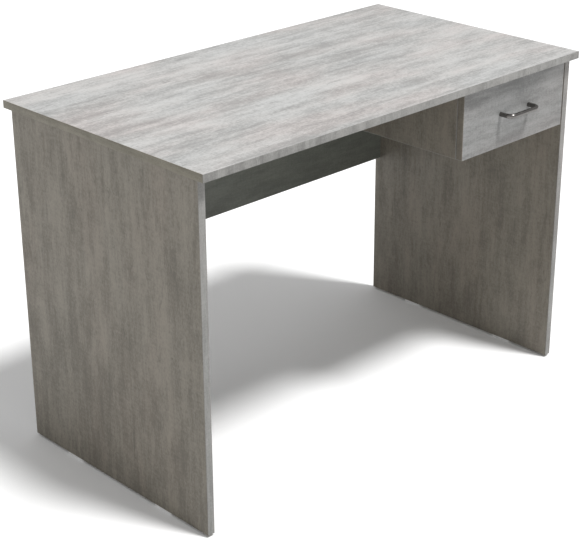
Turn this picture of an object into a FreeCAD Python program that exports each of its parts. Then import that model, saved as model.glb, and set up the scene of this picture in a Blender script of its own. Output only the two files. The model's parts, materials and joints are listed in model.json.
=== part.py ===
"""Writing desk with one drawer, as a parametric FreeCAD document.

Two side panels, a modesty panel and a short partition carry a desktop board. A drawer hangs between
the partition and the right side panel on a pair of roller runners. Units are millimetres. The origin
is on the floor under the middle of the desktop, +X is to the right as one sits at the desk, +Y is
away from the sitter and +Z is up.
"""
import FreeCAD, Part
import math
import os
import re

import Sketcher
from FreeCAD import Placement, Rotation, Vector

# ---------------------------------------------------------------------------------------------
# Driving dimensions. Each one becomes a cell of the sheet with the same alias.
# ---------------------------------------------------------------------------------------------
DIMENSIONS = {
    # whole desk
    "desk_width": 1100,
    "desk_depth": 600,
    "desk_height": 755,
    "board": 16,
    "band": 1,
    "side_overhang": 5,
    "front_overhang": 20,
    "modesty_height": 370,
    # floor glides
    "glide_height": 5,
    "glide_length": 52,
    "glide_inset": 137,
    "glide_nail_spread": 30,
    # drawer front and the gaps round it
    "front_width": 345,
    "front_height": 150,
    "front_side_gap": 3,
    "front_top_gap": 2,
    "partition_setback": 1,
    # drawer box
    "drawer_depth": 450,
    "drawer_side_height": 110,
    "hardboard": 3,
    "groove_lift": 10,
    "groove_depth": 6,
    "drawer_travel": 330,
    # roller runners, measured across the gap from the cabinet's face to the drawer's side
    "runner_lift": 12,
    "runner_length": 450,
    "runner_gap": 12.5,
    "sheet_steel": 1.2,
    "channel_depth": 10.2,
    "channel_height": 27.5,
    "rail_under": 24.3,
    "rail_reach": 8,
    "ledge_reach": 13.5,
    "rail_drop": 1,
    "roller_radius": 11,
    "roller_width": 5.5,
    "roller_bore": 2.55,
    "roller_chamfer": 0.6,
    "roller_end": 14,
    "rolling_gap": 0.3,
    "cabinet_roller_near": 2.7,
    "drawer_roller_near": 5.1,
    "rivet_radius": 2.5,
    "rivet_head_radius": 4.5,
    "rivet_head": 0.8,
    "stop_lead": 6.5,
    "stop_length": 3,
    "stop_height": 2,
    # bow handle
    "handle_centres": 96,
    "handle_reach": 34,
    "handle_rod": 10,
    "handle_bend": 14,
    "handle_screw": 4,
    "handle_screw_length": 25,
    "handle_hole": 5,
    # knock-down fasteners
    "cam_radius": 7.5,
    "cam_depth": 12.5,
    "cam_distance": 34,
    "cam_driver_slot": 1.6,
    "bolt_thread": 11,
    "bolt_thread_radius": 2.5,
    "bolt_hole_radius": 4,
    "bolt_head_radius": 3.25,
    "dowel_radius": 4,
    "dowel_length": 30,
    "dowel_face_depth": 12,
    "dowel_edge_depth": 18,
    # screws and nails
    "screw_head_radius": 3.5,
    "screw_head": 1.6,
    "screw_radius": 1.5,
    "screw_depth": 12,
    "screw_clearance": 2,
    "confirmat_head_radius": 5,
    "confirmat_head": 1.5,
    "confirmat_neck_radius": 3.5,
    "confirmat_thread_radius": 2.5,
    "confirmat_thread": 34,
    "nail_head_radius": 2.5,
    "nail_head": 1,
    "nail_radius": 1,
    "nail_depth": 14,
}

# Places and lengths worked out from the driving dimensions, as formulas of their names.
PLACES = {
    "underside": "(desk_height - board)",
    "desk_left": "(-desk_width / 2)",
    "desk_right": "(desk_width / 2)",
    "desk_front": "(-desk_depth / 2)",
    "desk_back": "(desk_depth / 2)",
    "outer_left": "(desk_left + side_overhang)",
    "outer_right": "(desk_right - side_overhang)",
    "inner_left": "(outer_left + board)",
    "inner_right": "(outer_right - board)",
    "panel_front": "(desk_front + front_overhang)",
    "panel_back": "(desk_back - front_overhang)",
    "panel_depth": "(panel_back - panel_front)",
    "panel_height": "(underside - glide_height)",
    "modesty_front": "(panel_back - board)",
    "modesty_middle": "(panel_back - board / 2)",
    "modesty_foot": "(underside - modesty_height)",
    "inner_width": "(inner_right - inner_left)",
    "front_right": "(inner_right - front_side_gap)",
    "front_left": "(front_right - front_width)",
    "front_top": "(underside - front_top_gap)",
    "front_foot": "(front_top - front_height)",
    "front_inside": "(panel_front + board)",
    "partition_left": "front_left",
    "partition_right": "(partition_left + board)",
    "partition_middle": "(partition_left + board / 2)",
    "partition_front": "(front_inside + partition_setback)",
    "partition_depth": "(modesty_front - partition_front)",
    "partition_height": "(underside - front_foot)",
    "channel_foot": "(front_foot + runner_lift)",
    "channel_front": "(front_inside + partition_setback)",
    "drawer_left": "(partition_right + runner_gap)",
    "drawer_right": "(inner_right - runner_gap)",
    "drawer_inner_left": "(drawer_left + board)",
    "drawer_inner_right": "(drawer_right - board)",
    "drawer_foot": "(channel_foot + rail_drop + sheet_steel)",
    "drawer_top": "(drawer_foot + drawer_side_height)",
    "drawer_back_face": "(front_inside + drawer_depth)",
    "drawer_back_middle": "(drawer_back_face - board / 2)",
    "bottom_foot": "(drawer_foot + groove_lift)",
    "bottom_top": "(bottom_foot + hardboard)",
    "handle_x": "((front_left + front_right) / 2)",
    "handle_z": "(front_foot + front_height / 2)",
    "cabinet_roller_y": "(channel_front + roller_end)",
    "cabinet_roller_z": "(channel_foot + rail_under - rolling_gap - roller_radius)",
    "drawer_roller_y": "(channel_front + runner_length - roller_end)",
    "drawer_roller_z": "(channel_foot + sheet_steel + rolling_gap + roller_radius)",
    "cam_level": "(underside - cam_distance)",
}

doc = FreeCAD.newDocument("writing_desk")
sheet = doc.addObject("Spreadsheet::Sheet", "Dimensions")
for row, (alias, size) in enumerate(DIMENSIONS.items(), start=1):
    sheet.set(f"A{row}", alias)
    sheet.set(f"B{row}", str(size))
    sheet.setAlias(f"B{row}", alias)
doc.recompute()

parts = []

# For each drilling axis: the origin plane to sketch on, the two axes of the sketch, the sign of the
# plane's normal, and the heading that a pocket takes from it without being reversed.
SKETCH_PLANES = {
    "X": ("YZ_Plane", 1, 2, 1, "-X"),
    "Y": ("XZ_Plane", 0, 2, -1, "+Y"),
    "Z": ("XY_Plane", 0, 1, 1, "-Z"),
}
HEADINGS = {
    "+X": Vector(1, 0, 0),
    "-X": Vector(-1, 0, 0),
    "+Y": Vector(0, 1, 0),
    "-Y": Vector(0, -1, 0),
    "+Z": Vector(0, 0, 1),
    "-Z": Vector(0, 0, -1),
}


# ---------------------------------------------------------------------------------------------
# Helpers that bind shapes to the sheet
# ---------------------------------------------------------------------------------------------
def formula(text):
    """Turn a formula of plain names into one that the expression engine can read."""

    def expand(match):
        word = match.group(0)
        if word in PLACES:
            return formula(PLACES[word])
        return f"Dimensions.{word}"

    return re.sub(r"[a-z][a-z_]*", expand, str(text))


def bind(thing, **sizes):
    """Bind properties of an object to formulas."""
    for name, text in sizes.items():
        thing.setExpression(name, formula(text))


def put(thing, spot):
    """Bind the position of an object to three formulas."""
    for axis, text in zip("xyz", spot):
        thing.setExpression(f".Placement.Base.{axis}", formula(text))


def finish(thing, label):
    """Name a finished sub-part, and list it for export."""
    thing.Label = label
    parts.append(thing)
    return thing


def sketch_on(body, role, level, name):
    """Add a sketch to a body, parallel to one of its origin planes at a level along the normal."""
    plane = next(feature for feature in body.Origin.OriginFeatures if feature.Role == role)
    sketch = body.newObject("Sketcher::SketchObject", name)
    sketch.AttachmentSupport = [(plane, "")]
    sketch.MapMode = "FlatFace"
    sketch.setExpression(".AttachmentOffset.Base.z", formula(level))
    return sketch


def pin_point(sketch, geometry, point, spot):
    """Fix one point of a sketch at two formulas, measured from the sketch's origin."""
    for kind, text in zip(("DistanceX", "DistanceY"), spot):
        index = sketch.addConstraint(Sketcher.Constraint(kind, -1, 1, geometry, point, 1.0))
        sketch.setExpression(f"Constraints[{index}]", formula(text))


def outline(sketch, corners):
    """Draw a closed outline of straight lines, whose corners are pairs of formulas."""
    count = len(corners)
    for number in range(count):
        turn = 2 * math.pi * number / count
        after = 2 * math.pi * (number + 1) / count
        start = Vector(50 + 40 * math.cos(turn), 50 + 40 * math.sin(turn), 0)
        end = Vector(50 + 40 * math.cos(after), 50 + 40 * math.sin(after), 0)
        sketch.addGeometry(Part.LineSegment(start, end), False)
    for number in range(count):
        sketch.addConstraint(Sketcher.Constraint("Coincident", number, 2, (number + 1) % count, 1))
    for number, corner in enumerate(corners):
        pin_point(sketch, number, 1, corner)


def pad(body, sketch, length):
    """Pad a sketch along its normal."""
    feature = body.newObject("PartDesign::Pad", "Pad")
    feature.Profile = sketch
    bind(feature, Length=length)
    return feature


def pocket(body, sketch, depth, flip):
    """Cut a sketch into its body, and make sure that it took material away."""
    doc.recompute()
    before = body.Shape.Volume
    feature = body.newObject("PartDesign::Pocket", "Pocket")
    feature.Profile = sketch
    feature.Reversed = flip
    bind(feature, Length=depth)
    doc.recompute()
    if body.Shape.Volume >= before - 0.1:
        raise RuntimeError(f"{body.Name}: a pocket cut nothing")
    return feature


def revolve(name, corners):
    """Make a body turned about its Z axis from an outline of (radius, height) corners."""
    body = doc.addObject("PartDesign::Body", name)
    sketch = sketch_on(body, "XZ_Plane", 0, "Profile")
    outline(sketch, corners)
    feature = body.newObject("PartDesign::Revolution", "Revolution")
    feature.Profile = sketch
    feature.ReferenceAxis = (sketch, ["V_Axis"])
    feature.Angle = 360
    doc.recompute()
    return body


def block(name, corner, size):
    """A plain box with its low corner and its size bound to formulas."""
    box = doc.addObject("Part::Box", name)
    bind(box, Length=size[0], Width=size[1], Height=size[2])
    put(box, corner)
    return box


def rod(name, spot, heading, radius, length):
    """A plain cylinder that starts at a spot and runs along a heading."""
    cylinder = doc.addObject("Part::Cylinder", name)
    cylinder.Placement = Placement(Vector(), Rotation(HEADINGS["+Z"], HEADINGS[heading]))
    bind(cylinder, Radius=radius, Height=length)
    put(cylinder, spot)
    return cylinder


def group(label, members):
    """Join separate solids into one sub-part."""
    compound = doc.addObject("Part::Compound", label)
    compound.Links = members
    return finish(compound, label)


def repeat(label, pattern, spots):
    """Place copies of one fastener. Each spot is three formulas and the heading of its Z axis."""
    copies = []
    for number, (x, y, z, heading) in enumerate(spots, start=1):
        copy = doc.addObject("App::Link", f"{label}_{number}")
        copy.LinkedObject = pattern
        copy.Placement = Placement(Vector(), Rotation(HEADINGS["+Z"], HEADINGS[heading]))
        put(copy, (x, y, z))
        copies.append(copy)
    return group(label, copies)


# ---------------------------------------------------------------------------------------------
# Boards, with holes given in the desk's own frame
# ---------------------------------------------------------------------------------------------
class Board:
    """A rectangular board whose own origin is its low corner."""

    def __init__(self, label, corner, size):
        self.corner = corner
        self.body = doc.addObject("PartDesign::Body", label)
        sketch = sketch_on(self.body, "XY_Plane", 0, "Outline")
        outline(sketch, [("0", "0"), (size[0], "0"), (size[0], size[1]), ("0", size[1])])
        pad(self.body, sketch, size[2])
        put(self.body, corner)
        finish(self.body, label)

    def local(self, spot):
        """Turn a spot in the desk's frame into one in the board's frame."""
        return [f"({text}) - ({low})" for text, low in zip(spot, self.corner)]

    def level_sketch(self, heading, spot, name):
        """Start a sketch square to a heading, at the level of a spot."""
        role, across, up, sign, plain = SKETCH_PLANES[heading[1]]
        level = self.local(spot)["XYZ".index(heading[1])]
        sketch = sketch_on(self.body, role, f"{sign} * ({level})", name)
        return sketch, across, up, heading != plain

    def drill(self, heading, spots, radius, depth):
        """Drill round holes of one size, each from its spot along the heading."""
        sketch, across, up, flip = self.level_sketch(heading, spots[0], "Holes")
        for number, spot in enumerate(spots):
            place = self.local(spot)
            centre = Vector(20 + 30 * number, 20, 0)
            sketch.addGeometry(Part.Circle(centre, Vector(0, 0, 1), 1), False)
            pin_point(sketch, number, 3, (place[across], place[up]))
            index = sketch.addConstraint(Sketcher.Constraint("Radius", number, 1.0))
            sketch.setExpression(f"Constraints[{index}]", formula(radius))
        pocket(self.body, sketch, depth, flip)

    def plough(self, heading, low, high, depth):
        """Cut a straight-sided groove between two spots, along the heading."""
        sketch, across, up, flip = self.level_sketch(heading, low, "Groove")
        near = self.local(low)
        far = self.local(high)
        corners = [
            (near[across], near[up]),
            (far[across], near[up]),
            (far[across], far[up]),
            (near[across], far[up]),
        ]
        outline(sketch, corners)
        pocket(self.body, sketch, depth, flip)


def shifted(spot, axis, distance):
    """Move a spot along an axis by a formula."""
    moved = list(spot)
    moved["XYZ".index(axis)] = f"({moved['XYZ'.index(axis)]}) + ({distance})"
    return tuple(moved)


# ---------------------------------------------------------------------------------------------
# Where the joints between the boards are. Each spot lies where the two boards meet.
# ---------------------------------------------------------------------------------------------
panel_middles = {"left": "inner_left - board / 2", "right": "inner_right + board / 2"}
side_top_cams = {
    side: [(x, f"{sign} * (panel_depth / 2 - 60)", "underside") for sign in (-1, 1)]
    for side, x in panel_middles.items()
}
side_top_dowels = {
    side: [(x, f"{sign} * (panel_depth / 2 - 130)", "underside") for sign in (-1, 1)]
    for side, x in panel_middles.items()
}
modesty_end_cams = {
    side: [(f"inner_{side}", "modesty_middle", z) for z in ("modesty_foot + 45", "underside - 80")]
    for side in ("left", "right")
}
modesty_end_dowels = {
    side: [(f"inner_{side}", "modesty_middle", z) for z in ("modesty_foot + 100", "underside - 140")]
    for side in ("left", "right")
}
modesty_top_cams = [(x, "modesty_middle", "underside") for x in ("-250", "250")]
modesty_top_dowels = [(x, "modesty_middle", "underside") for x in ("-310", "310")]
partition_top_cams = [("partition_middle", y, "underside") for y in ("-150", "150")]
partition_top_dowels = [("partition_middle", y, "underside") for y in ("-200", "200")]
partition_back_dowels = [("partition_middle", "modesty_front", f"front_foot + {z}") for z in (40, 110)]

drawer_middles = {"left": "drawer_left + board / 2", "right": "drawer_right - board / 2"}
drawer_front_cams = [(x, "front_inside", "drawer_foot + 70") for x in drawer_middles.values()]
drawer_front_dowels = [
    (x, "front_inside", f"drawer_foot + {z}") for x in drawer_middles.values() for z in (40, 95)
]
drawer_back_screws = {
    side: [(f"drawer_{side}", "drawer_back_middle", f"drawer_foot + {z}") for z in (40, 90)]
    for side in ("left", "right")
}
handle_spots = [
    (f"handle_x + {sign} * handle_centres / 2", "front_inside", "handle_z") for sign in (-1, 1)
]
glide_rows = [f"{sign} * (panel_depth / 2 - glide_inset)" for sign in (-1, 1)]
glide_nail_spots = {
    side: [
        (x, f"{row} + {sign} * glide_nail_spread / 2", "glide_height")
        for row in glide_rows
        for sign in (-1, 1)
    ]
    for side, x in panel_middles.items()
}
runner_screw_rows = [f"channel_front + {along}" for along in (60, 220, 380)]
ledge_screw_rows = [f"channel_front + {along}" for along in (60, 380)]


# ---------------------------------------------------------------------------------------------
# Carcass
# ---------------------------------------------------------------------------------------------
def make_desktop():
    """The desktop board, drilled from below, and the four strips that band its edges."""
    top = Board(
        "desktop_board",
        ("desk_left + band", "desk_front + band", "underside"),
        ("desk_width - 2 * band", "desk_depth - 2 * band", "board"),
    )
    bolts = side_top_cams["left"] + side_top_cams["right"] + modesty_top_cams + partition_top_cams
    pegs = side_top_dowels["left"] + side_top_dowels["right"] + modesty_top_dowels + partition_top_dowels
    top.drill("+Z", bolts, "bolt_thread_radius", "bolt_thread")
    top.drill("+Z", pegs, "dowel_radius", "dowel_face_depth")

    along = ("desk_width", "band", "board")
    across = ("band", "desk_depth - 2 * band", "board")
    strips = [
        block("desktop_band_front", ("desk_left", "desk_front", "underside"), along),
        block("desktop_band_back", ("desk_left", "desk_back - band", "underside"), along),
        block("desktop_band_left", ("desk_left", "desk_front + band", "underside"), across),
        block("desktop_band_right", ("desk_right - band", "desk_front + band", "underside"), across),
    ]
    group("desktop_edge_bands", strips)


def make_side_panel(side):
    """One side panel, with the holes for the desktop, the modesty panel and the glides."""
    low = {"left": "outer_left", "right": "inner_right"}[side]
    outward = {"left": "-X", "right": "+X"}[side]
    panel = Board(
        f"{side}_side_panel",
        (low, "panel_front + band", "glide_height"),
        ("board", "panel_depth - 2 * band", "panel_height"),
    )
    housings = [(f"inner_{side}", y, "cam_level") for _, y, _ in side_top_cams[side]]
    panel.drill("-Z", side_top_cams[side], "bolt_hole_radius", "cam_distance")
    panel.drill("-Z", side_top_dowels[side], "dowel_radius", "dowel_edge_depth")
    panel.drill(outward, housings, "cam_radius", "cam_depth")
    panel.drill(outward, modesty_end_cams[side], "bolt_thread_radius", "bolt_thread")
    panel.drill(outward, modesty_end_dowels[side], "dowel_radius", "dowel_face_depth")
    panel.drill("+Z", glide_nail_spots[side], "nail_radius", "nail_depth")
    return panel


def make_side_panels():
    """Both side panels and the strips on their front and back edges."""
    make_side_panel("left")
    right = make_side_panel("right")
    screws = [("inner_right", y, "channel_foot + channel_height / 2") for y in runner_screw_rows]
    right.drill("+X", screws, "screw_radius", "screw_depth")

    size = ("board", "band", "panel_height")
    strips = []
    for side, low in (("left", "outer_left"), ("right", "inner_right")):
        for edge, y in (("front", "panel_front"), ("back", "panel_back - band")):
            strips.append(block(f"{side}_panel_band_{edge}", (low, y, "glide_height"), size))
    group("side_panel_edge_bands", strips)


def make_modesty_panel():
    """The panel across the back, with its cam housings on the hidden rear face."""
    panel = Board(
        "modesty_panel",
        ("inner_left", "modesty_front", "modesty_foot + band"),
        ("inner_width", "board", "modesty_height - band"),
    )
    ends = (("left", "+X", 1), ("right", "-X", -1))
    housings = [(x, "panel_back", "cam_level") for x, _, _ in modesty_top_cams]
    for side, inward, sign in ends:
        panel.drill(inward, modesty_end_cams[side], "bolt_hole_radius", "cam_distance")
        panel.drill(inward, modesty_end_dowels[side], "dowel_radius", "dowel_edge_depth")
        for _, _, z in modesty_end_cams[side]:
            housings.append((f"inner_{side} + {sign} * cam_distance", "panel_back", z))
    panel.drill("-Z", modesty_top_cams, "bolt_hole_radius", "cam_distance")
    panel.drill("-Z", modesty_top_dowels, "dowel_radius", "dowel_edge_depth")
    panel.drill("-Y", housings, "cam_radius", "cam_depth")
    panel.drill("+Y", partition_back_dowels, "dowel_radius", "dowel_face_depth")

    corner = ("inner_left", "modesty_front", "modesty_foot")
    strip = block("modesty_edge_band", corner, ("inner_width", "board", "band"))
    finish(strip, "modesty_edge_band")


def make_partition():
    """The short upright between the knee space and the drawer."""
    partition = Board(
        "drawer_partition",
        ("partition_left", "partition_front + band", "front_foot + band"),
        ("board", "partition_depth - band", "partition_height - band"),
    )
    housings = [("partition_right", y, "cam_level") for _, y, _ in partition_top_cams]
    screws = [("partition_right", y, "channel_foot + channel_height / 2") for y in runner_screw_rows]
    partition.drill("-Z", partition_top_cams, "bolt_hole_radius", "cam_distance")
    partition.drill("-Z", partition_top_dowels, "dowel_radius", "dowel_edge_depth")
    partition.drill("-Y", partition_back_dowels, "dowel_radius", "dowel_edge_depth")
    partition.drill("-X", housings, "cam_radius", "cam_depth")
    partition.drill("-X", screws, "screw_radius", "screw_depth")

    corner = ("partition_left", "partition_front", "front_foot")
    front_size = ("board", "band", "partition_height - band")
    strips = [
        block("partition_band_foot", corner, ("board", "partition_depth", "band")),
        block("partition_band_front", shifted(corner, "Z", "band"), front_size),
    ]
    group("partition_edge_bands", strips)


def make_glides():
    """Four plastic glides, each held by two nails from below."""
    glide = doc.addObject("PartDesign::Body", "glide_pattern")
    sketch = sketch_on(glide, "XY_Plane", 0, "Outline")
    outline(sketch, [("0", "0"), ("board", "0"), ("board", "glide_length"), ("0", "glide_length")])
    pad(glide, sketch, "glide_height")
    nails = [f"glide_length / 2 + {sign} * glide_nail_spread / 2" for sign in (-1, 1)]
    for name, level, radius in (
        ("Heads", "nail_head + 0.5", "nail_head_radius"),
        ("Shanks", "glide_height", "nail_radius"),
    ):
        holes = sketch_on(glide, "XY_Plane", level, name)
        for number, along in enumerate(nails):
            holes.addGeometry(Part.Circle(Vector(8, 10 + 30 * number, 0), Vector(0, 0, 1), 1), False)
            pin_point(holes, number, 3, ("board / 2", along))
            index = holes.addConstraint(Sketcher.Constraint("Radius", number, 1.0))
            holes.setExpression(f"Constraints[{index}]", formula(radius))
        pocket(glide, holes, level, False)

    spots = [
        (low, f"{row} - glide_length / 2", "0", "+Z")
        for low in ("outer_left", "inner_right")
        for row in glide_rows
    ]
    repeat("floor_glides", glide, spots)

    nail = revolve(
        "glide_nail_pattern",
        [
            ("0", "0.5"),
            ("nail_head_radius", "0.5"),
            ("nail_head_radius", "0.5 + nail_head"),
            ("nail_radius", "0.5 + nail_head"),
            ("nail_radius", "glide_height + nail_depth - 2"),
            ("0", "glide_height + nail_depth"),
        ],
    )
    spots = [(x, y, "0", "+Z") for side in ("left", "right") for x, y, _ in glide_nail_spots[side]]
    repeat("glide_nails", nail, spots)


# ---------------------------------------------------------------------------------------------
# Knock-down fasteners
# ---------------------------------------------------------------------------------------------
def make_cam_pattern():
    """A cam lock: its Z axis comes out of the board, and the bolt comes in along +X."""
    body = revolve(
        "cam_pattern",
        [("0", "-cam_depth"), ("cam_radius", "-cam_depth"), ("cam_radius", "0"), ("0", "0")],
    )
    mouth = sketch_on(body, "YZ_Plane", "cam_radius + 1", "Bolt_mouth")
    mouth.addGeometry(Part.Circle(Vector(0, -8, 0), Vector(0, 0, 1), 3), False)
    pin_point(mouth, 0, 3, ("0", "-board / 2"))
    index = mouth.addConstraint(Sketcher.Constraint("Radius", 0, 3.0))
    mouth.setExpression(f"Constraints[{index}]", formula("bolt_hole_radius"))
    pocket(body, mouth, "cam_radius + 1 + bolt_head_radius", False)
    cross = sketch_on(body, "XY_Plane", "0", "Driver_cross")
    half = "cam_driver_slot / 2"
    arm = "cam_radius * 0.6"
    corners = []
    for across, up in ((1, 1), (-1, 1), (-1, -1), (1, -1)):
        tip_right = (f"{across} * {arm}", f"{up} * {half}")
        inside = (f"{across} * {half}", f"{up} * {half}")
        tip_up = (f"{across} * {half}", f"{up} * {arm}")
        corners += [tip_right, inside, tip_up] if across == up else [tip_up, inside, tip_right]
    outline(cross, corners)
    pocket(body, cross, "2.5", False)
    return body


def make_bolt_pattern():
    """A cam bolt: Z = 0 is where the boards meet, the thread is below and the head above."""
    return revolve(
        "bolt_pattern",
        [
            ("0", "-bolt_thread"),
            ("bolt_thread_radius", "-bolt_thread"),
            ("bolt_thread_radius", "0"),
            ("bolt_head_radius", "0"),
            ("bolt_head_radius", "1.5"),
            ("bolt_thread_radius", "1.5"),
            ("bolt_thread_radius", "cam_distance - 5"),
            ("bolt_thread_radius - 0.5", "cam_distance - 4.5"),
            ("bolt_thread_radius - 0.5", "cam_distance - 2.5"),
            ("bolt_head_radius", "cam_distance - 2"),
            ("bolt_head_radius", "cam_distance + 1"),
            ("bolt_head_radius - 1", "cam_distance + 2"),
            ("0", "cam_distance + 2"),
        ],
    )


def make_dowel_pattern():
    """A wooden dowel: Z = 0 is where the boards meet, and the short end is below."""
    slim = "dowel_radius - 0.8"
    return revolve(
        "dowel_pattern",
        [
            ("0", "-dowel_face_depth"),
            (slim, "-dowel_face_depth"),
            ("dowel_radius", "-dowel_face_depth + 1"),
            ("dowel_radius", "dowel_edge_depth - 1"),
            (slim, "dowel_edge_depth"),
            ("0", "dowel_edge_depth"),
        ],
    )


def aim(spots, heading):
    """Give every spot a heading."""
    return [(*spot, heading) for spot in spots]


def place_cams(label, pattern, places):
    """Place cam locks. Each place has its spot, the way out of the board and where the bolt comes from."""
    copies = []
    for number, (spot, out, bolt) in enumerate(places, start=1):
        copy = doc.addObject("App::Link", f"{label}_{number}")
        copy.LinkedObject = pattern
        turn = Rotation(HEADINGS[bolt], HEADINGS[out].cross(HEADINGS[bolt]), HEADINGS[out], "ZXY")
        copy.Placement = Placement(Vector(), turn)
        put(copy, spot)
        copies.append(copy)
    group(label, copies)


def make_fasteners():
    """Cam locks, cam bolts and dowels of every joint, one group for each kind of joint."""
    cam = make_cam_pattern()
    bolt = make_bolt_pattern()
    dowel = make_dowel_pattern()

    side_cams = []
    for side, out in (("left", "+X"), ("right", "-X")):
        for _, y, _ in side_top_cams[side]:
            side_cams.append(((f"inner_{side}", y, "cam_level"), out, "+Z"))
    place_cams("side_panel_cam_locks", cam, side_cams)
    repeat("side_panel_cam_bolts", bolt, aim(side_top_cams["left"] + side_top_cams["right"], "-Z"))
    repeat("side_panel_dowels", dowel, aim(side_top_dowels["left"] + side_top_dowels["right"], "-Z"))

    modesty_cams = [((x, "panel_back", "cam_level"), "+Y", "+Z") for x, _, _ in modesty_top_cams]
    for side, sign, bolt_from in (("left", 1, "-X"), ("right", -1, "+X")):
        for _, _, z in modesty_end_cams[side]:
            spot = (f"inner_{side} + {sign} * cam_distance", "panel_back", z)
            modesty_cams.append((spot, "+Y", bolt_from))
    place_cams("modesty_cam_locks", cam, modesty_cams)
    modesty_bolts = aim(modesty_top_cams, "-Z")
    modesty_pegs = aim(modesty_top_dowels, "-Z")
    for side, inward in (("left", "+X"), ("right", "-X")):
        modesty_bolts += aim(modesty_end_cams[side], inward)
        modesty_pegs += aim(modesty_end_dowels[side], inward)
    repeat("modesty_cam_bolts", bolt, modesty_bolts)
    repeat("modesty_dowels", dowel, modesty_pegs)

    partition_cams = [(("partition_right", y, "cam_level"), "+X", "+Z") for _, y, _ in partition_top_cams]
    place_cams("partition_cam_locks", cam, partition_cams)
    repeat("partition_cam_bolts", bolt, aim(partition_top_cams, "-Z"))
    partition_pegs = aim(partition_top_dowels, "-Z") + aim(partition_back_dowels, "-Y")
    repeat("partition_dowels", dowel, partition_pegs)

    drawer_cams = []
    for side, out in (("left", "-X"), ("right", "+X")):
        spot = (f"drawer_{side}", "front_inside + cam_distance", "drawer_foot + 70")
        drawer_cams.append((spot, out, "-Y"))
    place_cams("drawer_cam_locks", cam, drawer_cams)
    repeat("drawer_cam_bolts", bolt, aim(drawer_front_cams, "+Y"))
    repeat("drawer_dowels", dowel, aim(drawer_front_dowels, "+Y"))


# ---------------------------------------------------------------------------------------------
# Drawer
# ---------------------------------------------------------------------------------------------
def make_drawer_front():
    """The drawer front, grooved for the bottom, and its four edge strips."""
    front = Board(
        "drawer_front",
        ("front_left + band", "panel_front", "front_foot + band"),
        ("front_width - 2 * band", "board", "front_height - 2 * band"),
    )
    front.drill("-Y", drawer_front_cams, "bolt_thread_radius", "bolt_thread")
    front.drill("-Y", drawer_front_dowels, "dowel_radius", "dowel_face_depth")
    front.drill("-Y", handle_spots, "handle_hole / 2", "board")
    low = ("drawer_inner_left - groove_depth", "front_inside", "bottom_foot")
    high = ("drawer_inner_right + groove_depth", "front_inside", "bottom_top")
    front.plough("-Y", low, high, "groove_depth")

    corner = ("front_left", "panel_front", "front_foot")
    along = ("front_width", "board", "band")
    upright = ("band", "board", "front_height - 2 * band")
    strips = [
        block("front_band_foot", corner, along),
        block("front_band_top", shifted(corner, "Z", "front_height - band"), along),
        block("front_band_left", shifted(corner, "Z", "band"), upright),
        block("front_band_right", ("front_right - band", "panel_front", "front_foot + band"), upright),
    ]
    group("drawer_front_edge_bands", strips)


def make_drawer_side(side):
    """One side of the drawer box, with its groove, cam housing and screw holes."""
    inward = {"left": "+X", "right": "-X"}[side]
    outward = {"left": "-X", "right": "+X"}[side]
    middle = drawer_middles[side]
    low_x = {"left": "drawer_left", "right": "drawer_inner_right"}[side]
    board = Board(
        f"drawer_{side}_side",
        (low_x, "front_inside", "drawer_foot"),
        ("board", "drawer_depth", "drawer_side_height - band"),
    )
    housing = [(f"drawer_{side}", "front_inside + cam_distance", "drawer_foot + 70")]
    bolt_hole = [(middle, "front_inside", "drawer_foot + 70")]
    pegs = [(middle, "front_inside", f"drawer_foot + {z}") for z in (40, 95)]
    ledge_screws = [(middle, y, "drawer_foot") for y in ledge_screw_rows]
    board.drill(inward, housing, "cam_radius", "cam_depth")
    board.drill("+Y", bolt_hole, "bolt_hole_radius", "cam_distance")
    board.drill("+Y", pegs, "dowel_radius", "dowel_edge_depth")
    board.drill(inward, drawer_back_screws[side], "confirmat_head_radius", "confirmat_head")
    board.drill(inward, drawer_back_screws[side], "confirmat_neck_radius", "board")
    board.drill("+Z", ledge_screws, "screw_radius", "screw_depth")
    low = (f"drawer_inner_{side}", "front_inside", "bottom_foot")
    high = (f"drawer_inner_{side}", "drawer_back_face", "bottom_top")
    board.plough(outward, low, high, "groove_depth")


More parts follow.
